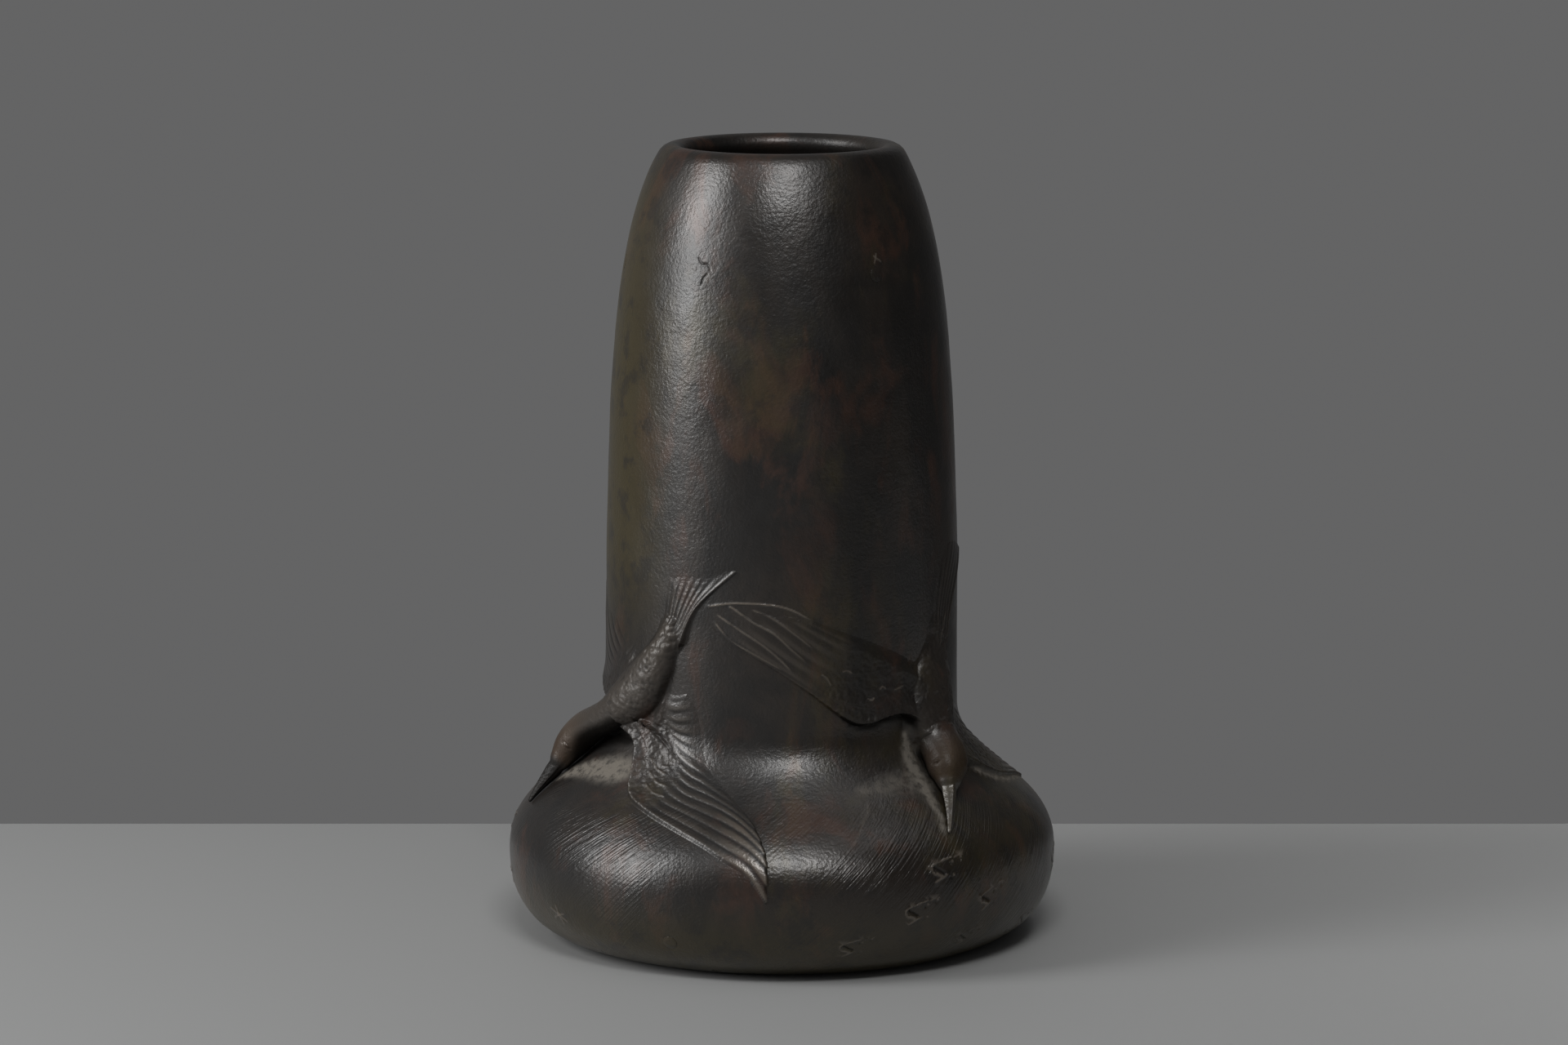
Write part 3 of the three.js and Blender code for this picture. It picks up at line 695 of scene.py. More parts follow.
def bird_relief(bird, angle, rise):
    """Height of a bird over the skin before it melts into it, its rubbed crests and the back's painted
    highlight, plumage and grooves.
    """
    height = np.full(len(angle), -3 * MELT)
    worn, soft, dark = (np.zeros(len(angle)) for _ in range(3))
    for wing in bird["wings"]:
        wing_height, crests, coverts, grooves = wing_relief(wing, angle, rise)
        worn = np.where(wing_height > height, crests, worn)
        dark = np.where(wing_height > height, grooves, dark)
        soft = np.maximum(soft, coverts)
        height = soft_max(height, wing_height, 0.8)
    dome, along, across = back_relief(bird, angle, rise)
    worn, dark = worn * (dome < height), dark * (dome < height)
    height = soft_max(height, dome, 2.4)
    back = 1 - smooth_step(0.9, 1.2, across)
    back *= 1 - smooth_step(bird["free_from"], bird["free_from"] + 0.12, along)
    soft = np.maximum(soft, back)
    # Painted highlight: the back is lightened where the lamps would shine on it
    worn = np.maximum(worn, bird["painted_back_highlight"] * back * (1 - smooth_step(0.3, 1.1, across)))
    scale = local_scale(rise)
    for scale_angle, scale_rise in bird["scales"]:
        ring = np.hypot((angle - scale_angle) * scale, rise - scale_rise)
        height = height + 0.3 * np.exp(-(ring / 1.05)**4) - 0.14 * np.exp(-((ring - 1.6) / 0.4)**2)
    return height, worn, soft * smooth_step(0, 0.8, height), dark


def cover_of(strips, angle, rise):
    """How thickly strips of painted shade, or of dust with a painted sheen, cover a place, between 0 and
    1.
    """
    cover = np.zeros(len(angle))
    shares = np.linspace(0, 1, 30)
    for strength, line in strips:
        course = flow(line, shares)
        distance, along = line_distance(angle, rise, course[:, :2], local_scale(rise))
        reach = np.interp(along, shares, course[:, 2])
        cover = np.maximum(cover, strength * (1 - smooth_step(0.15, 1.4, distance / reach)))
    return cover


def mark_frame(mark, angle, rise):
    """Millimetres along and above a mark's upper line, in the mark's own size."""
    mark_angle, mark_rise, heading, size = mark
    x, y = (angle - mark_angle) * local_scale(rise) / size, (rise - mark_rise) / size
    turn = math.radians(heading)
    return x * math.cos(turn) + y * math.sin(turn), y * math.cos(turn) - x * math.sin(turn)


def body_chasing(angle, rise):
    """Height of everything that is chased or scratched into the body, in millimetres."""
    height = stroke_height(BODY_STROKES, angle, rise, local_scale(rise))
    for mark in MARKS:
        along, above = mark_frame(mark, angle, rise)
        near = (np.abs(along) < 2 * MARK_LENGTH) & (np.abs(above) < 2 * MARK_DEPTH)
        chased = stroke_height(MARK_STROKES, along[near], above[near], 1)
        for tall, radius, (dot_along, dot_above) in MARK_DOTS:
            away = np.hypot(along[near] - dot_along, above[near] - dot_above)
            chased += tall * np.exp(-(away / radius)**2)
        height[near] += mark[3] * chased
    for plug_angle, plug_rise in PLUGS:
        away = np.hypot((angle - plug_angle) * local_scale(rise), rise - plug_rise)
        height -= PLUG_SEAM * np.exp(-((away - PLUG_RADIUS) / PLUG_SEAM_WIDTH)**2)
    return height


def needs_fine_mesh(angle, rise):
    """Whether a place lies near a mark, a stroke or a plug."""
    scale = local_scale(rise)
    close = np.zeros(len(angle), bool)
    for _, _, line in BODY_STROKES:
        distance, _ = line_distance(angle, rise, np.array(line), scale)
        close |= distance < FINE_REACH
    for mark in MARKS:
        along, above = mark_frame(mark, angle, rise)
        close |= ((along > -FINE_BEFORE_MARK) & (along < MARK_LENGTH + FINE_PAST_MARK)
                  & (above > -MARK_DEPTH) & (above < FINE_MARGIN))
    for plug_angle, plug_rise in PLUGS:
        close |= np.hypot((angle - plug_angle) * scale, rise - plug_rise) < PLUG_RADIUS + FINE_MARGIN
    return close


def plug_places():
    """Angle and rise of each core plug, from the solids."""
    places = []
    for name in PLUG_NODES:
        low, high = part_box(name)
        x, y, z = ((low[axis] + high[axis]) / 2 / MM for axis in range(3))
        nearest = np.argmin((SKIN.radius - math.hypot(x, y))**2 + (SKIN.height - z)**2)
        places.append((math.degrees(math.atan2(x, -y)), SKIN.rise[nearest]))
    return places


PLUG_NODES = [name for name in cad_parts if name.startswith("core_plug")]
PLUGS = plug_places()


def mesh_from(bm, name):
    """The mesh of a finished bmesh."""
    mesh = bpy.data.meshes.new(name)
    bm.to_mesh(mesh)
    bm.free()
    return mesh


def read_points(mesh):
    points = np.empty(len(mesh.vertices) * 3)
    mesh.vertices.foreach_get("co", points)
    return points.reshape(-1, 3)


def write_points(mesh, points):
    mesh.vertices.foreach_set("co", np.ascontiguousarray(points, dtype=float).ravel())
    mesh.update()


def note(mesh, **layers):
    """Keeps numbers for each vertex, for the finish to read."""
    for name, values in layers.items():
        layer = mesh.attributes.new(name, "FLOAT", "POINT")
        layer.data.foreach_set("value", np.ascontiguousarray(values, dtype=np.float32))


def noted(mesh, name):
    """The numbers kept under a name."""
    values = np.empty(len(mesh.vertices), np.float32)
    mesh.attributes[name].data.foreach_get("value", values)
    return values


def shade(mesh, crease_degrees=38):
    mesh.polygons.foreach_set("use_smooth", [True] * len(mesh.polygons))
    mesh.set_sharp_from_angle(angle=math.radians(crease_degrees))


def new_piece(name, mesh, material, nodes):
    """A piece of the vase, which stands for solids."""
    piece = bpy.data.objects.new(name, mesh)
    bpy.context.scene.collection.objects.link(piece)
    mesh.materials.append(material)
    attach(piece, "root")
    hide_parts(*nodes)


def body_profile():
    """The shell's closed section as (radius, height, rise); an inner point has no rise."""
    length = SKIN.top + SKIN.lower_length
    outer_rises = np.linspace(-SKIN.lower_length, SKIN.top, int(length / OUTER_SPACING))
    outer = list(zip(*SKIN.at(outer_rises), outer_rises))
    lip = [(MOUTH_RADIUS + LIP_INNER_ROUND * math.cos(turn),
            HEIGHT - LIP_INNER_ROUND + LIP_INNER_ROUND * math.sin(turn))
           for turn in np.linspace(math.pi / 2, math.pi, INNER_LIP_STEPS)[1:]]
    wall_rises = np.arange(SKIN.top - INNER_TAPER, -SKIN.lower_length, -INNER_SPACING)
    wall = [place for place in zip(*SKIN.at(wall_rises, -WALL)) if place[1] > FLOOR + 1]
    rising = np.subtract(wall[0], wall[1])
    rising *= INNER_LIP_PULL / np.hypot(*rising)
    taper = sweep(lip[-1], (0, -INNER_LIP_PULL), wall[0], rising)[8:-8:8]
    lowest = wall[-1][0]
    ledge = RECESS_RADIUS - LEDGE_WIDTH
    floor = [(lowest - 1, FLOOR + 0.3), (lowest - WALL, FLOOR), (ledge + 6, FLOOR), (ledge, FLOOR),
             (ledge, RECESS_DEPTH), (RECESS_RADIUS, RECESS_DEPTH), (RECESS_RADIUS, 0)]
    return outer + [(radius, height, None) for radius, height in (*lip, *taper, *wall, *floor)]


def cast_body_mesh():
    """Spins the shell's section round the axis, then chases the marks into it."""
    bm = bmesh.new()
    on_skin = bm.verts.layers.float.new("on_skin")
    rise_of = bm.verts.layers.float.new("rise")
    ring = []
    for radius, height, rise in body_profile():
        vert = bm.verts.new((radius, 0, height))
        vert[on_skin] = 0 if rise is None else 1
        vert[rise_of] = rise or 0
        ring.append(vert)
    edges = [bm.edges.new(ends) for ends in zip(ring, ring[1:] + ring[:1])]
    bmesh.ops.spin(bm, geom=ring + edges, cent=(0, 0, 0), axis=(0, 0, 1), angle=2 * math.pi,
                   steps=BODY_TURN_STEPS, use_merge=True)
    bmesh.ops.recalc_face_normals(bm, faces=bm.faces)
    bm.verts.index_update()
    places = np.array([(*vert.co, vert[rise_of], vert[on_skin]) for vert in bm.verts])
    close = (places[:, 4] > 0.5) & needs_fine_mesh(angle_of(places), places[:, 3])
    fine = [edge for edge in bm.edges if all(close[vert.index] for vert in edge.verts)]
    bmesh.ops.subdivide_edges(bm, edges=fine, cuts=MARK_CUTS, use_grid_fill=True)
    mesh = mesh_from(bm, "vase_body_shell")
    points, rise, outside = read_points(mesh), noted(mesh, "rise"), noted(mesh, "on_skin") > 0.5
    angle = angle_of(points)
    chasing = body_chasing(angle, rise) * outside
    lift = SKIN.dents(angle, rise) + chasing
    points[outside] = SKIN.point(angle[outside], rise[outside], lift[outside])
    write_points(mesh, points * MM)
    # Painted shade: dark in the cut pits, in the hollows by the birds, and on the inside below the lip
    pits = 0.9 * smooth_step(*BODY_PITS, -chasing)
    inside = ~outside * smooth_step(*DARK_INSIDE, HEIGHT - points[:, 2])
    shaded = np.maximum(cover_of(PAINTED_SHADE_STRIPS, angle, rise) * outside, pits)
    note(mesh, worn=smooth_step(*BODY_RIDGES, chasing), dust=cover_of(DUST_AND_SHEEN, angle, rise) * outside,
         hollow=np.maximum(shaded, inside))
    shade(mesh)
    return mesh


def casting_mesh(bird):
    """A bird's wings, tail and back as one closed casting that lies on the skin."""
    (angle_low, angle_high), (rise_low, rise_high) = bird["angles"], bird["rises"]
    columns = int((angle_high - angle_low) * local_scale(SQUARE_CELL_RISE) / CASTING_CELL)
    rows = int((rise_high - rise_low) / CASTING_CELL)
    bm = bmesh.new()
    bmesh.ops.create_grid(bm, x_segments=columns, y_segments=rows, size=0.5)
    spread = Matrix.Diagonal((angle_high - angle_low, rise_high - rise_low, 1, 1))
    shift = Matrix.Translation(((angle_low + angle_high) / 2, (rise_low + rise_high) / 2, 0))
    bmesh.ops.transform(bm, matrix=shift @ spread, verts=bm.verts)
    places = np.array([vert.co for vert in bm.verts])
    height = bird_relief(bird, places[:, 0], places[:, 1])[0]
    bm.verts.index_update()
    spare = [face for face in bm.faces if all(height[vert.index] < -MELT for vert in face.verts)]
    bmesh.ops.delete(bm, geom=spare, context="FACES")
    made = bmesh.ops.extrude_face_region(bm, geom=bm.faces[:], use_keep_orig=True)["geom"]
    top_verts = [item for item in made if isinstance(item, bmesh.types.BMVert)]
    top_faces = [item for item in made if isinstance(item, bmesh.types.BMFace)]
    bmesh.ops.translate(bm, vec=(0, 0, 1), verts=top_verts)
    top_edges = list({edge for face in top_faces for edge in face.edges})
    bmesh.ops.subdivide_edges(bm, edges=top_edges, cuts=CASTING_CUTS, use_grid_fill=True)
    bmesh.ops.recalc_face_normals(bm, faces=bm.faces)
    mesh = mesh_from(bm, bird["node"] + "_casting")
    angle, rise, level = read_points(mesh).T
    height, worn, soft, dark = bird_relief(bird, angle, rise)
    melted = soft_max(height, 0, MELT)
    melted -= SEAM_DEPTH * (1 - smooth_step(0, 2.5 * SEAM_DEPTH, melted))
    chasing = stroke_height(bird["strokes"], angle, rise, local_scale(rise))
    pressed = soft * plumage(SKIN.point(angle, rise, melted), bird["coarse"])
    melted += pressed + chasing
    lift = np.where(level > 0.5, melted, -BURIED) + SKIN.dents(angle, rise)
    write_points(mesh, SKIN.point(angle, rise, lift) * MM)
    worn = np.maximum(worn, 0.8 * smooth_step(*BIRD_RIDGES, chasing))
    # Painted shade in the feather grooves, the plumage's pits and the hollows by the birds
    dark = np.maximum(0.6 * dark, 0.55 * smooth_step(*BIRD_PITS, -pressed))
    shaded = cover_of(PAINTED_SHADE_STRIPS, angle, rise) * (1 - smooth_step(2.5, 5, melted))
    note(mesh, worn=worn * smooth_step(0.1, 0.4, melted), hollow=np.maximum(shaded, dark),
         dust=cover_of(DUST_AND_SHEEN, angle, rise) * (1 - smooth_step(0.3, 1.2, melted)), rise=rise, plumage=soft)
    return mesh


def head_mesh(bird):
    """Neck, head and beak as a closed round form that stands clear of the skin."""
    bm = bmesh.new()
    bmesh.ops.create_grid(bm, x_segments=HEAD_TURN_STEPS, y_segments=HEAD_LENGTH_STEPS, size=0.5)
    mesh = mesh_from(bm, bird["node"] + "_head")
    places = read_points(mesh)
    turn = (places[:, 0] + 0.5) * 2 * math.pi
    begin = bird["free_from"] - NECK_OVERLAP
    share = begin + (1 - begin) * (places[:, 1] + 0.5)

    def centre(at):
        rows = flow(bird["spine"], at)
        return SKIN.point(rows[:, 0], rows[:, 1], rows[:, 2]), rows

    middle, rows = centre(share)
    along = centre(np.minimum(share + 0.01, 1))[0] - centre(np.maximum(share - 0.01, 0))[0]
    along /= np.linalg.norm(along, axis=1)[:, None]
    side = np.cross(along, SKIN.out(rows[:, 0], rows[:, 1]))
    side /= np.linalg.norm(side, axis=1)[:, None]
    up = np.cross(side, along)
    closed = np.sqrt(np.clip((1 - share) / BEAK_CLOSING, 0, 1))
    closed *= np.sqrt(np.clip((share - begin) / NECK_CLOSING, 0, 1))
    inner = 0.95 + 0.05 * smooth_step(bird["free_from"] - 0.06, bird["free_from"] + 0.01, share)
    beak = smooth_step(*BEAK_ROOT, share)
    squared = 1 / (np.abs(np.cos(turn)) + np.abs(np.sin(turn)))
    form = (1 + 0.65 * beak * (squared - 1)) * closed * inner
    form *= 1 - 0.1 * np.exp(-((share - BEAK_NOTCH) / NOTCH_WIDTH)**2)
    from_below = np.abs(turn - math.pi)
    gape = np.exp(-((from_below - GAPE_TURN) / GAPE_WIDTH)**2) * smooth_step(*GAPE_BEGINS, share)
    eye = np.hypot((share - EYE_SHARE) * SPINE_LENGTH, (from_below - EYE_TURN) * HEAD_RADIUS)
    relief = 0.3 * np.exp(-(eye / 0.8)**2) - 0.28 * np.exp(-((eye - 1.5) / 0.45)**2)
    relief -= 0.22 * gape * closed
    across, tall = np.sin(turn) * rows[:, 3] * form, np.cos(turn) * rows[:, 4] * form
    points = middle + side * across[:, None] + up * tall[:, None]
    away = points - middle
    away /= np.maximum(np.linalg.norm(away, axis=1), 1e-6)[:, None]
    feathered = 1 - smooth_step(*FEATHERS_END, share)
    ruffled = feathered * (1 - smooth_step(0.44, 0.64, share))
    relief = relief + plumage(points, bird["coarse"]) * (0.1 * feathered + 0.9 * ruffled)
    points = points + away * (relief * closed)[:, None]
    write_points(mesh, points * MM)
    # Painted highlight on the upper side of the neck, where the lamps would shine
    nape = smooth_step(0.1, 0.7, np.cos(turn)) * (1 - smooth_step(0.68, 0.8, share))
    # Painted shade on the head's underside and on faces that look down
    below = smooth_step(-0.05, 0.6, -away[:, 2]) * feathered
    under = np.maximum(smooth_step(0.1, 0.9, -np.cos(turn)), below)
    beak_shade = bird["beak_dark"] * smooth_step(FEATHERS_END[0], BEAK_ROOT[1], share)
    head = smooth_step(0.52, 0.7, share) * feathered
    note(mesh, worn=np.maximum(bird["beak_worn"] * beak, bird["painted_back_highlight"] * nape),
         dust=np.zeros(len(points)), hollow=np.maximum(under, beak_shade), warm=bird["head_warm"] * head,
         matt=bird["head_matt"] * head, rise=rows[:, 1], plumage=ruffled)
    bm = bmesh.new()
    bm.from_mesh(mesh)
    bmesh.ops.remove_doubles(bm, verts=bm.verts, dist=2e-6)
    bmesh.ops.recalc_face_normals(bm, faces=bm.faces)
    bm.to_mesh(mesh)
    bm.free()
    return mesh


def plug_mesh(name, angle, rise):
    """A round plug through the wall, filed to the skin's curve, with a small rounded edge."""
    bm = bmesh.new()
    bmesh.ops.create_cone(bm, cap_ends=True, segments=48, radius1=PLUG_RADIUS, radius2=PLUG_RADIUS,
                          depth=WALL)
    bmesh.ops.translate(bm, vec=(0, 0, PLUG_PROUD - WALL / 2), verts=bm.verts)
    rims = [edge for edge in bm.edges if all(vert.co.z > 0 for vert in edge.verts)]
    bmesh.ops.bevel(bm, geom=rims, offset=PLUG_EDGE, offset_type="OFFSET", segments=2, profile=0.5,
                    affect="EDGES", material=-1)
    mesh = mesh_from(bm, name)
    points = read_points(mesh)
    angles = angle + points[:, 0] / local_scale(rise)
    rises = rise + points[:, 1]
    write_points(mesh, SKIN.point(angles, rises, points[:, 2] + SKIN.dents(angles, rises)) * MM)
    shade(mesh)
    return mesh


def joined(name, meshes):
    """One mesh from several closed ones."""
    bm = bmesh.new()
    for mesh in meshes:
        bm.from_mesh(mesh)
        bpy.data.meshes.remove(mesh)
    return mesh_from(bm, name)


class Nodes:
    """Lays out the nodes of a material or a background, each from its inputs."""

    def __init__(self, owner, shader="Principled BSDF"):
        owner.use_nodes = True
        self.tree = owner.node_tree
        self.shader = self.tree.nodes[shader]

    def fill(self, node, inputs):
        """Sets a node's sockets, or links them to other nodes."""
        for key, value in inputs.items():
            socket = node.inputs[key]
            if isinstance(value, bpy.types.Node):
                value = value.outputs[0]
            if isinstance(value, bpy.types.NodeSocket):
                self.tree.links.new(value, socket)
            else:
                socket.default_value = (*value, 1) if socket.type == "RGBA" else value
        return node

    def node(self, kind, inputs=None, **settings):
        made = self.tree.nodes.new("ShaderNode" + kind)
        for key, value in settings.items():
            setattr(made, key, value)
        return self.fill(made, inputs or {})

    def math(self, operation, first, second, clamp=False):
        return self.node("Math", {0: first, 1: second}, operation=operation, use_clamp=clamp)

    def times(self, first, second):
        return self.math("MULTIPLY", first, second)

    def plus(self, first, second):
        return self.math("ADD", first, second)

    def minus(self, first, second):
        return self.math("SUBTRACT", first, second)

    def largest(self, first, *others):
        for other in others:
            first = self.math("MAXIMUM", first, other)
        return first

    def mix(self, share, first, second):
        return self.node("Mix", {0: share, 6: first, 7: second}, data_type="RGBA").outputs[2]

    def spread(self, value, low, high, new_low=0, new_high=1):
        """Stretches a range of a value to another range, with soft ends."""
        inputs = dict(enumerate((value, low, high, new_low, new_high)))
        return self.node("MapRange", inputs, interpolation_type="SMOOTHSTEP").outputs[0]

    def noise(self, place, scale, detail=2, roughness=0.5, distortion=0):
        inputs = {"Vector": place, "Scale": scale, "Detail": detail, "Roughness": roughness,
                  "Distortion": distortion}
        return self.node("TexNoise", inputs).outputs["Fac"]

    def clouds(self, place, pattern, *result):
        """Soft patches of a noise: its settings, then the range of it that is stretched."""
        *settings, low, high = pattern
        return self.spread(self.noise(place, *settings), low, high, *result)

    def attribute(self, name):
        return self.node("Attribute", attribute_name=name).outputs["Fac"]

    def bumps(self, *layers):
        """Bumps over each other: the height, strength and depth in metres of each."""
        under = {}
        for layer in layers:
            made = self.node("Bump", dict(zip(("Height", "Strength", "Distance"), layer)) | under)
            under = {"Normal": made}
        return made


# Patterns of the finishes: a noise's scale, detail, roughness and distortion, and its range that shows
BROWN_CLOUDS = (34, 5, 0.68, 0.3, 0.38, 0.62)
RED_CLOUDS = (52, 4, 0.65, 0.6, 0.5, 0.66)
OLIVE_CLOUDS = (22, 5, 0.7, 0.7, 0.52, 0.7)
DARK_BLOTCHES = (110, 4, 0.7, 0, 0.48, 0.68)
DUST_GRAIN = (420, 4, 0.65, 0, 0.3, 0.62)
DULL_CLOUDS = (60, 3, 0.5, 0, 0.3, 0.7)
BRUSHED_PATCHES = (24, 1, 0.5, 0, 0.42, 0.6)

# The hammered and the pebbled skin: a noise's scale, detail and roughness
HAMMERED = (240, 2, 0.5)
PEBBLED = (1000, 2, 0.6)

# Where the patina turns olive or brushed, and where the left side is painted olive and lighter as light
# from the side lamp: metres up the vase or to the side, and rises in millimetres
OLIVE_FOOT = (0.004, 0.03)
OLIVE_LIT_SIDE = (-0.05, -0.03)
OLIVE_NECK = (0.085, 0.13)
GLOSSY_BULB = (0.035, 0.055)
BRUSHED_RISES = (-20, -30)

# The brush strokes' slant, as shares of the rise and of the arc, and their fineness across and along
SLANT_ACROSS = (0.7, -0.72)
SLANT_ALONG = (0.72, 0.7)
STROKES_PER_MM = (1.5, 0.06)

PATINA = "dark_bronze_patina"
# Painted shade: the near black of hollows, grooves, pits, undersides and the vase's inside
PAINTED_SHADE_BLACK = (0.003, 0.0025, 0.002)


def brushed(finish, place):
    """Fine strokes that rise to the right round the bulb, as a height."""
    axes = finish.node("SeparateXYZ", {0: place}).outputs
    arc = finish.times(finish.math("ARCTAN2", axes["X"], finish.times(axes["Y"], -1)), STROKE_RADIUS)
    rise = finish.attribute("rise")
    sides = []
    for (rise_share, arc_share), fineness in zip((SLANT_ACROSS, SLANT_ALONG), STROKES_PER_MM):
        slanted = finish.plus(finish.times(rise, rise_share), finish.times(arc, arc_share))
        sides.append(finish.times(slanted, fineness))
    strokes = finish.noise(finish.node("CombineXYZ", dict(enumerate(sides))), 1, 2, 0.5, 0.15)
    patches = finish.clouds(place, BRUSHED_PATCHES)
    return finish.times(strokes, finish.times(patches, finish.spread(rise, *BRUSHED_RISES)))


def patina(look):
    """Dark waxed bronze: brown, red and olive clouds, rubbed ridges and a finely pitted skin, with
    painted shade, painted highlights and a painted sheen.
    """
    material = bpy.data.materials.new(PATINA)
    finish = Nodes(material)
    place = finish.node("TexCoord").outputs["Object"]
    axes = finish.node("SeparateXYZ", {0: place}).outputs
    tall = finish.node("Mapping", {"Vector": place, "Scale": (1, 1, 0.45)})
    notes = ("worn", "hollow", "warm", "matt", "plumage")
    worn, hollow, warm, matt, plumage = (finish.attribute(name) for name in notes)
    grain = finish.plus(finish.clouds(place, DUST_GRAIN), 0.35)
    dust = finish.math("MULTIPLY", finish.attribute("dust"), grain, clamp=True)
    # Painted light: olive on the left of the neck, the side that the tall lamp lights
    side = finish.times(finish.spread(axes["X"], *OLIVE_LIT_SIDE, 1, 0),
                        finish.spread(axes["Z"], *OLIVE_NECK))
    foot = finish.spread(axes["Z"], *OLIVE_FOOT, 1, 0)
    olive = finish.largest(finish.times(finish.clouds(tall, OLIVE_CLOUDS), 0.4), finish.times(foot, 0.6),
                           finish.times(side, 0.75))
    tint = look.dark
    for share, strength, colour in (
            (finish.clouds(tall, BROWN_CLOUDS), 1, look.brown),
            (finish.clouds(tall, RED_CLOUDS), 0.68, look.red),
            (olive, 1, look.olive),
            (finish.clouds(place, DARK_BLOTCHES), 0.6, look.dark),
            (warm, 0.7, look.amber),
            # Rubbed metal, and painted highlights on the birds' backs, napes and crests
            (worn, 0.8, look.rubbed_and_highlight),
            # Painted shade, near black and dull, wherever shade would fall
            (hollow, 0.92, PAINTED_SHADE_BLACK),
            (dust, 1, look.dust)):
        tint = finish.mix(finish.times(share, strength), tint, colour)
    dull = finish.largest(dust, hollow, matt)
    bare = finish.minus(1, finish.largest(finish.times(dull, 0.85), finish.times(plumage, 0.2)))
    rough = finish.clouds(place, DULL_CLOUDS, look.roughness - 0.05, look.roughness + 0.05)
    bulb = finish.spread(axes["Z"], *GLOSSY_BULB, 1, 0)
    for share, strength in ((bulb, -0.05), (dull, 0.45), (plumage, 0.07)):
        rough = finish.plus(rough, finish.times(share, strength))
    bump = finish.bumps((finish.noise(place, *HAMMERED), 0.25, 0.00045),
                        (finish.noise(place, *PEBBLED), 0.65, 0.0002),
                        (brushed(finish, place), 0.7, 0.0004))
    finish.fill(finish.shader, {
        "Base Color": tint, "Metallic": look.metallic, "Roughness": rough,
        "Specular IOR Level": finish.times(bare, look.gloss),
        "Coat Weight": finish.times(bare, look.wax), "Coat Roughness": look.wax_roughness,
        "Normal": bump, "Coat Normal": bump})
    return material


def plain_metal(name, colour, roughness, scale):
    """Bare or dulled metal with cloudy colour and fine scratches."""
    material = bpy.data.materials.new(name)
    finish = Nodes(material)
    place = finish.node("TexCoord").outputs["Object"]
    darker = [0.55 * part for part in colour]
    finish.fill(finish.shader, {
        "Base Color": finish.mix(finish.clouds(place, (scale, 4, 0.6, 0, 0.3, 0.7)), darker, colour),
        "Metallic": 0.85,
        "Roughness": finish.clouds(place, (6 * scale, 2, 0.5, 0, 0.3, 0.7), roughness - 0.08,
                                   roughness + 0.08),
        "Normal": finish.bumps((finish.noise(place, 12 * scale, 3), 0.3, 0.0003))})
    return material


def share_setting(name, description, default):
    """A number between 0 and 1 that a user may change."""
    return FloatProperty(name=name, description=description, default=default, min=0, max=1,
                         subtype="FACTOR")


def colour_setting(name, description, default):
    """A colour that a user may change."""
    return FloatVectorProperty(name=name, description=description, default=default, min=0, max=1,
                               subtype="COLOR")


def power_setting(name, description, default):
    """A lamp's power that a user may change."""
    return FloatProperty(name=name, description=description, default=default, min=0, unit="POWER")


class VaseLook(PropertyGroup):
    """Colours and gloss of the bronze."""

    dark: colour_setting("Dark patina", "The darkest brown", (0.0083, 0.007, 0.006))
    brown: colour_setting("Brown patina", "The usual brown", (0.0196, 0.0147, 0.0112))
    red: colour_setting("Red patina", "Reddish clouds", (0.05, 0.022, 0.013))
    amber: colour_setting("Amber patina", "Warm brown on the birds' heads", (0.055, 0.03, 0.014))
    olive: colour_setting("Olive patina", "Greenish gold near the foot and neck", (0.054, 0.041, 0.0115))
    # Also the colour of painted highlights on the birds' backs, napes and crests
    rubbed_and_highlight: colour_setting("Rubbed bronze", "Metal that hands have polished", (0.12, 0.1, 0.08))
    # Also the colour of the painted sheen on the right shoulder
    dust: colour_setting("Dust", "Pale dust in the hollows", (0.15, 0.135, 0.115))
    gloss: share_setting("Gloss", "How strongly the patina mirrors", 0.6)
    metallic: share_setting("Metal", "How much bare metal shows through", 0.2)
    roughness: share_setting("Roughness", "Dullness of the patina", 0.37)
    wax: share_setting("Wax", "How thick the wax lies", 0.35)
    wax_roughness: share_setting("Wax roughness", "Dullness of the wax", 0.3)


class StudioLook(PropertyGroup):
    """Light, table and background."""

    side_power: power_setting("Side light", "Strength of the tall light at the left", 10)
    front_power: power_setting("Front light", "Strength of the light over the front", 6.4)
    ceiling_power: power_setting("Ceiling light", "Strength of the weak light overhead", 0.8)
    table_power: power_setting("Table light", "Strength of the light on the table's right", 0.5)
    table: colour_setting("Table", "Colour of the table", (0.289, 0.291, 0.29))
    wall: colour_setting("Background", "Colour behind the table", (0.127, 0.127, 0.128))
    fill: share_setting("Fill", "Strength of the even light from all round", 0.25)


# The small pieces' metals, by a word in their names: material, colour, roughness and noise scale
SMALL_METALS = {
    "rivet": ("dull_rivet_bronze", (0.3, 0.21, 0.12), 0.45, 300),
    "plate": ("hammered_plate_bronze", (0.22, 0.16, 0.1), 0.55, 60),
    "solder": ("grey_solder", (0.3, 0.28, 0.25), 0.5, 150),
}


def cast_finish(context):
    """The patina that all cast pieces share, made once."""
    return bpy.data.materials.get(PATINA) or patina(context.scene.vase_look)


class VASE_OT_cast_body(Operator):
    """Cast the vase's shell with its lip, wall, foot ring and chased marks"""

    bl_idname = "vase.cast_body"
    bl_label = "Cast Body"

    def execute(self, context):
        new_piece("vase_shell", cast_body_mesh(), cast_finish(context), ["vase_body"])
        return {"FINISHED"}


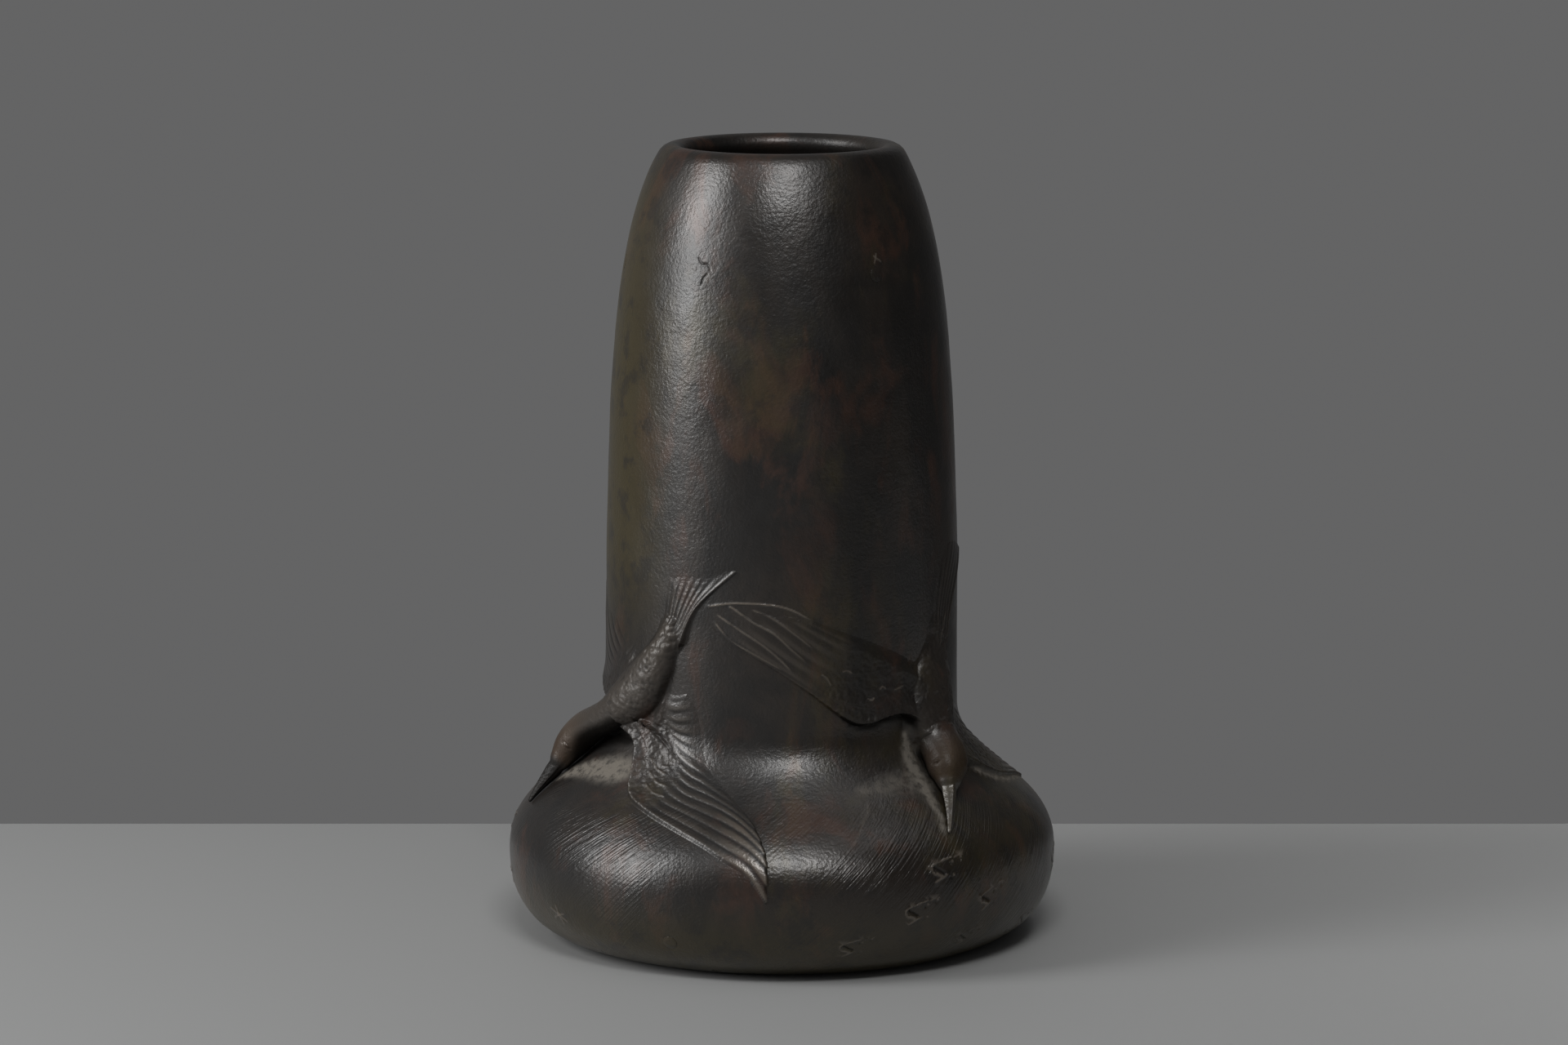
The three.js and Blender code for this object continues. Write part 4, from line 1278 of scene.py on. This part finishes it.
class VASE_OT_cast_birds(Operator):
    """Cast the two diving birds, each with wings, tail, neck and head"""

    bl_idname = "vase.cast_birds"
    bl_label = "Cast Birds"

    def execute(self, context):
        for bird in (LEFT_BIRD, RIGHT_BIRD):
            name = bird["node"] + "_relief"
            mesh = joined(name, [casting_mesh(bird), head_mesh(bird)])
            shade(mesh, 80)
            new_piece(name, mesh, cast_finish(context), [bird["node"]])
        return {"FINISHED"}


class VASE_OT_set_plugs(Operator):
    """Set the filed plugs that close the core pins' holes"""

    bl_idname = "vase.set_plugs"
    bl_label = "Set Plugs"

    def execute(self, context):
        for node, place in zip(PLUG_NODES, PLUGS):
            name = node + "_filed"
            new_piece(name, plug_mesh(name, *place), cast_finish(context), [node])
        return {"FINISHED"}


class VASE_OT_finish_small(Operator):
    """Give the rivets, bottom plate and solder their metal"""

    bl_idname = "vase.finish_small"
    bl_label = "Finish Small Pieces"

    def execute(self, context):
        for word, metal in SMALL_METALS.items():
            material = plain_metal(*metal)
            for name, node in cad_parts.items():
                if word in name:
                    node.data.materials.clear()
                    node.data.materials.append(material)
        return {"FINISHED"}


# The camera, in metres, radians and millimetres of lens and sensor
CAMERA_AWAY = 1.7
CAMERA_HEIGHT = 0.41283
CAMERA_TILT = 0.166399
CAMERA_SIDE = 0.00063
CAMERA_LENS = 127.95
CAMERA_SENSOR = 36

# The table: its back edge, its reach to each side and to the front, thickness, rounding and surface
TABLE_BACK = 0.144
TABLE_REACH = 1.5
TABLE_THICKNESS = 0.03
TABLE_EDGE = 0.0015
TABLE_ROUGHNESS = 0.55
TABLE_SHINE = 0.2

# The background grows darker to the right: where in the X of its direction, from and to which strength
WALL_SHADE = (0.16, 0.6, 1, 0.3)

# The lamps: name, size, place, the spot that each looks at, and its spread in degrees
LAMPS = [
    ("side", (0.38, 0.78), (-0.985, -0.347, 0.57), (0, 0, 0.15), 180),
    ("front", (0.44, 0.28), (0.06, -0.885, 1.085), (0, -0.04, 0.2), 180),
    ("ceiling", (0.7, 0.45), (0.08, -0.5, 1.3), (0, 0, 0.2), 180),
    ("table", (0.4, 0.4), (0.54, 0.03, 0.9), (0.52, 0.03, 0), 54),
]


def soft_light(name, power, size, place, target, spread_degrees):
    """A rectangular lamp that looks at a target."""
    lamp = bpy.data.lights.new(name, "AREA")
    lamp.shape = "RECTANGLE"
    lamp.size, lamp.size_y = size
    lamp.energy = power
    lamp.spread = math.radians(spread_degrees)
    thing = bpy.data.objects.new(name, lamp)
    thing.location = place
    thing.rotation_euler = (Vector(target) - thing.location).to_track_quat("-Z", "Y").to_euler()
    bpy.context.scene.collection.objects.link(thing)


def set_table(look):
    """A pale satin table top, whose back edge is the horizon."""
    bm = bmesh.new()
    bmesh.ops.create_cube(bm, size=1)
    depth = TABLE_BACK + TABLE_REACH
    bmesh.ops.scale(bm, vec=(2 * TABLE_REACH, depth, TABLE_THICKNESS), verts=bm.verts)
    bmesh.ops.translate(bm, vec=(0, TABLE_BACK - depth / 2, -TABLE_THICKNESS / 2), verts=bm.verts)
    bmesh.ops.bevel(bm, geom=bm.edges[:], offset=TABLE_EDGE, offset_type="OFFSET", segments=2,
                    profile=0.5, affect="EDGES", material=-1)
    mesh = mesh_from(bm, "table")
    material = bpy.data.materials.new("satin_table")
    finish = Nodes(material)
    finish.fill(finish.shader, {"Base Color": look.table, "Roughness": TABLE_ROUGHNESS,
                                "Specular IOR Level": TABLE_SHINE})
    mesh.materials.append(material)
    table = bpy.data.objects.new("table", mesh)
    bpy.context.scene.collection.objects.link(table)


def set_world(look):
    """Even light from all round, in which the camera, glass and gloss see the plain background."""
    world = bpy.data.worlds.new("studio")
    bpy.context.scene.world = world
    air = Nodes(world, "Background")
    rays = air.node("LightPath").outputs
    seen = air.largest(rays["Is Camera Ray"], rays["Is Transmission Ray"], rays["Is Glossy Ray"])
    towards = air.node("SeparateXYZ", {0: air.node("TexCoord").outputs["Generated"]}).outputs
    air.fill(air.shader, {"Color": air.mix(seen, [look.fill] * 3, look.wall),
                          "Strength": air.spread(towards["X"], *WALL_SHADE)})


class VASE_OT_set_stage(Operator):
    """Set the camera, table, background and the studio's lights"""

    bl_idname = "vase.set_stage"
    bl_label = "Set Stage"

    def execute(self, context):
        look = context.scene.vase_studio
        camera = bpy.data.cameras.new("camera")
        camera.lens = CAMERA_LENS
        camera.sensor_width = CAMERA_SENSOR
        viewer = bpy.data.objects.new("camera", camera)
        viewer.location = (CAMERA_SIDE, -CAMERA_AWAY, CAMERA_HEIGHT)
        viewer.rotation_euler = (math.pi / 2 - CAMERA_TILT, 0, 0)
        context.scene.collection.objects.link(viewer)
        context.scene.camera = viewer
        set_table(look)
        set_world(look)
        for name, *setting in LAMPS:
            soft_light(name + "_light", getattr(look, name + "_power"), *setting)
        context.scene.view_settings.view_transform = "Standard"
        return {"FINISHED"}


class VASE_PT_panel(Panel):
    """Lists the vase's pieces and looks"""

    bl_label = "Bronze Bird Vase"
    bl_space_type = "VIEW_3D"
    bl_region_type = "UI"
    bl_category = "Vase"

    def draw(self, context):
        layout = self.layout
        for operator in STEPS:
            layout.operator(operator.bl_idname)
        for group in (context.scene.vase_look, context.scene.vase_studio):
            for name in group.__annotations__:
                layout.prop(group, name)


STEPS = (VASE_OT_cast_body, VASE_OT_cast_birds, VASE_OT_set_plugs, VASE_OT_finish_small,
         VASE_OT_set_stage)
CLASSES = (VaseLook, StudioLook, *STEPS, VASE_PT_panel)


def register():
    for item in CLASSES:
        bpy.utils.register_class(item)
    bpy.types.Scene.vase_look = PointerProperty(type=VaseLook)
    bpy.types.Scene.vase_studio = PointerProperty(type=StudioLook)


def unregister():
    del bpy.types.Scene.vase_studio
    del bpy.types.Scene.vase_look
    for item in reversed(CLASSES):
        bpy.utils.unregister_class(item)


def main():
    register()
    bpy.ops.vase.set_stage()
    bpy.ops.vase.cast_body()
    bpy.ops.vase.cast_birds()
    bpy.ops.vase.set_plugs()
    bpy.ops.vase.finish_small()


if __name__ == "__main__":
    main()
